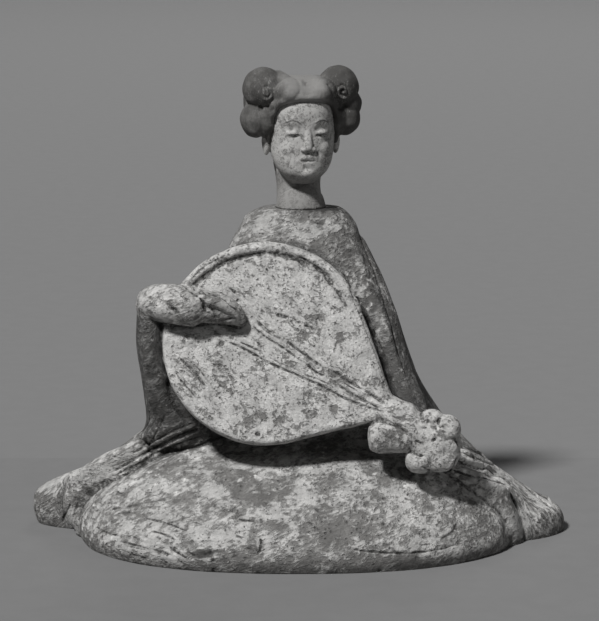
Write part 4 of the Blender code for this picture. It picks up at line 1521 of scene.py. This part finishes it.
def painted_clay(groups):
    """The body: dark clay under pale slip that is worn in patches and streaks, with earth and painted shade
    darkening its grooves.
    """
    made, g, shader, bump = new_material("painted clay", 0.9, 1.0, 0.0011)
    place, on_lute_share, on_tail_share = g.place(), g.attribute("lute"), g.attribute("tail")

    def by_part(blend, robe, tail, lute):
        return blend(on_lute_share, blend(on_tail_share, robe, tail), lute)

    vectors = streak_vectors(g, place)
    lines = by_part(g.nearer, *vectors)
    brushed = [
        g.group(groups["streaks"], Vector=vector, Size=size)["Streaks"]
        for vector, size in zip(vectors, (260.0, 300.0, 330.0))
    ]
    streaks = by_part(g.between, *brushed)
    slip = g.group(
        groups["slip"],
        Vector=place,
        Grain=lines,
        Kept=g.varied(g.attribute("kept"), streaks, by_part(g.between, 0.8, 1.9, 0.4)),
        Size=g.between(on_lute_share, 70.0, 95.0),
        Fine=by_part(g.between, 0.5, 0.8, 0.55),
    )
    grain = g.group(groups["grain"], Vector=place, Pores=0.8)
    cracks = g.group(groups["cracks"], Vector=place, Amount=g.between(on_lute_share, 0.45, 0.4))["Crack"]
    clay = g.mixed(slip["Thin"], BARE_CLAY, THIN_SLIP)
    cover = g.times(slip["Slip"], g.between(on_lute_share, 0.84, 1.0))
    mottle = g.noise(place, 130.0, detail=4, roughness=0.6)
    grit = g.noise(lines, 900.0, detail=3, roughness=0.7)
    shade = g.times(g.step(mottle, 0.3, 0.7, to_low=0.76, to_high=1.14), g.attribute("tone"))
    shade = g.times(shade, g.step(grit, 0.3, 0.7, to_low=0.85, to_high=1.14))
    shaded = g.node("ShaderNodeVectorMath", operation="SCALE")
    g.fed(shaded, {0: g.mixed(cover, clay, THICK_SLIP), "Scale": shade})
    dirt_and_shade = dirt_and_shade_on(g, groups, place, broad=1.0, specks=0.8)
    dark = g.highest(dirt_and_shade, g.times(grain["Pore"], 0.5), g.times(cracks, 0.75))
    colour = g.mixed(g.times(dark, 0.9), shaded.outputs[0], DARK_DIRT_AND_SHADE)
    g.link(colour, shader.inputs["Base Color"])
    height = g.plus(grain["Height"], slip["Height"], 0.6)
    height = g.plus(height, streaks, g.between(on_tail_share, 0.8, 2.2))
    g.link(g.plus(height, dark, -0.5), bump.inputs["Height"])
    return made


def painted_head(groups):
    """The head: pale face slip with fine wear, dark painted hair, and thin ink lines."""
    made, g, shader, bump = new_material("painted head", 0.86, 0.8, 0.00045)
    place = g.place()
    slip = g.group(groups["slip"], Vector=place, Grain=place, Kept=0.62, Size=150.0, Fine=0.6)
    grain = g.group(groups["grain"], Vector=place, Pores=0.4)
    rubbed = g.noise(place, 95.0, detail=4, roughness=0.6)
    brushed, scratches = (
        g.group(groups["streaks"], Vector=g.scaled(place, stretch), Size=size)["Streaks"]
        for stretch, size in (((1.0, 1.0, 0.45), 260.0), ((1.0, 0.5, 0.3), 900.0))
    )
    face = g.mixed(slip["Thin"], FACE_CLAY, THIN_SLIP)
    face = g.mixed(slip["Slip"], face, FACE_SLIP)
    # Painted shadow under the chin: the neck mark mixes bare clay into the face colour
    face = g.mixed(g.times(g.attribute("neck"), 0.7), face, BARE_CLAY)
    face = g.mixed(g.times(g.attribute("ink"), 0.92), face, INK)
    # Pale hair paint: worn on the crown and by rubbing, and painted light on the viewer's left side
    worn_and_lit = g.varied(g.varied(g.attribute("pale_hair"), rubbed, 1.3), brushed, 0.9)
    locks = g.mixed(g.step(worn_and_lit, 0.0, 1.0), HAIR_PAINT, WORN_AND_LIT_HAIR)
    near_curls = g.attribute("curl")
    cut = g.plus(0.61, near_curls, -0.1)
    all_over = g.times(g.over(scratches, cut, 0.0, 0.05), g.step(rubbed, 0.42, 0.56))
    on_curls = g.times(g.over(scratches, cut, 0.0, 0.04), near_curls)
    locks = g.mixed(g.times(g.highest(all_over, on_curls), 0.7), locks, THIN_SLIP)
    line = g.varied(g.attribute("hair"), g.noise(place, 500.0, detail=3), 0.5)
    surface = g.mixed(g.step(line, 0.4, 0.6), face, locks)
    dirt_and_shade = dirt_and_shade_on(g, groups, place, broad=0.6, specks=0.5)
    g.link(g.mixed(g.times(dirt_and_shade, 0.75), surface, DARK_DIRT_AND_SHADE), shader.inputs["Base Color"])
    g.link(g.plus(grain["Height"], slip["Height"], 0.3), bump.inputs["Height"])
    return made


# Floor, lights and the light all round; the floor is a little darker in front of a line behind the figure
FLOOR_REACH = 9.0
FLOOR_LINE = 0.183
FLOOR_LINE_BLUR = 0.001
NEAR_TONES = (0.2, 0.208)
FAR_TONES = (0.212, 0.218)
KEY_FROM = CAMERA_AIM + Vector((-0.85, -1.12, 1.70))
KEY_STRENGTH = 3.6
KEY_SPREAD = math.radians(7.5)
FILL_FROM = Vector((1.7, -1.1, 1.0))
FILL_SIZE = 0.9
FILL_POWER = 3.0
BACK_FROM = Vector((0.8, 4.6, 4.0))
BACK_SIZE = 3.0
BACK_POWER = 50.0
SKY_TONE = 0.5
SKY_STRENGTH = 0.04
SKY_SEEN = 0.44


def grey(tone):
    return tone, tone, tone, 1


def make_light(name, kind, place, **settings):
    """A light that shines from this place at the figure."""
    light = bpy.data.objects.new(name, bpy.data.lights.new(name, kind))
    bpy.context.scene.collection.objects.link(light)
    light.location = place
    light.rotation_euler = (place - CAMERA_AIM).to_track_quat("Z", "Y").to_euler()
    for setting, value in settings.items():
        setattr(light.data, setting, value)


def make_floor():
    mesh = bpy.data.meshes.new("floor")
    corners = [(x * FLOOR_REACH, y * FLOOR_REACH, 0) for x, y in ((-1, -1), (1, -1), (1, 1), (-1, 1))]
    mesh.from_pydata(corners, [], [(0, 1, 2, 3)])
    floor = bpy.data.objects.new("floor", mesh)
    bpy.context.scene.collection.objects.link(floor)
    made = bpy.data.materials.new("floor")
    made.use_nodes = True
    g = Graph(made.node_tree)
    shader = g.fed(made.node_tree.nodes["Principled BSDF"], {"Roughness": 0.95, "Specular IOR Level": 0.1})
    place = g.place()
    grain = g.step(g.noise(place, 60.0, detail=4), 0.3, 0.7)
    near = g.mixed(grain, *map(grey, NEAR_TONES))
    far = g.mixed(grain, *map(grey, FAR_TONES))
    behind = g.step(g.parts(place)[1], FLOOR_LINE - FLOOR_LINE_BLUR, FLOOR_LINE + FLOOR_LINE_BLUR)
    g.link(g.mixed(behind, near, far), shader.inputs["Base Color"])
    mesh.materials.append(made)


def make_room():
    """The floor, a key light so far away that it lights the whole floor evenly, a fill and a back light."""
    make_floor()
    make_light("key light", "SUN", KEY_FROM, energy=KEY_STRENGTH, angle=KEY_SPREAD)
    make_light("fill light", "AREA", FILL_FROM, shape="DISK", size=FILL_SIZE, energy=FILL_POWER)
    make_light("back light", "AREA", BACK_FROM, shape="DISK", size=BACK_SIZE, energy=BACK_POWER)
    world = bpy.data.worlds.new("soft room")
    world.use_nodes = True
    g = Graph(world.node_tree)
    seen = g.node("ShaderNodeLightPath").outputs["Is Camera Ray"]
    strength = g.between(seen, SKY_STRENGTH, SKY_SEEN)
    g.fed(world.node_tree.nodes["Background"], {"Color": grey(SKY_TONE), "Strength": strength})
    bpy.context.scene.world = world
    bpy.context.scene.view_settings.view_transform = "Standard"


def finish_piece(piece, look, node):
    """Gives the piece its look, and puts it in the place of the solid that it stands for."""
    piece.data.materials.clear()
    piece.data.materials.append(look)
    piece.data.shade_smooth()
    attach(piece, "root")
    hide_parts(node)


camera = make_camera()
effects = {
    "slip": worn_slip(),
    "dirt_and_shade": dirt_and_painted_shade(),
    "streaks": brush_streaks(),
    "cracks": crazed_cracks(),
    "grain": clay_grain(),
}
finish_piece(make_body(), painted_clay(effects), "body_with_lute")
finish_piece(make_head(), painted_head(effects), "head")
make_room()
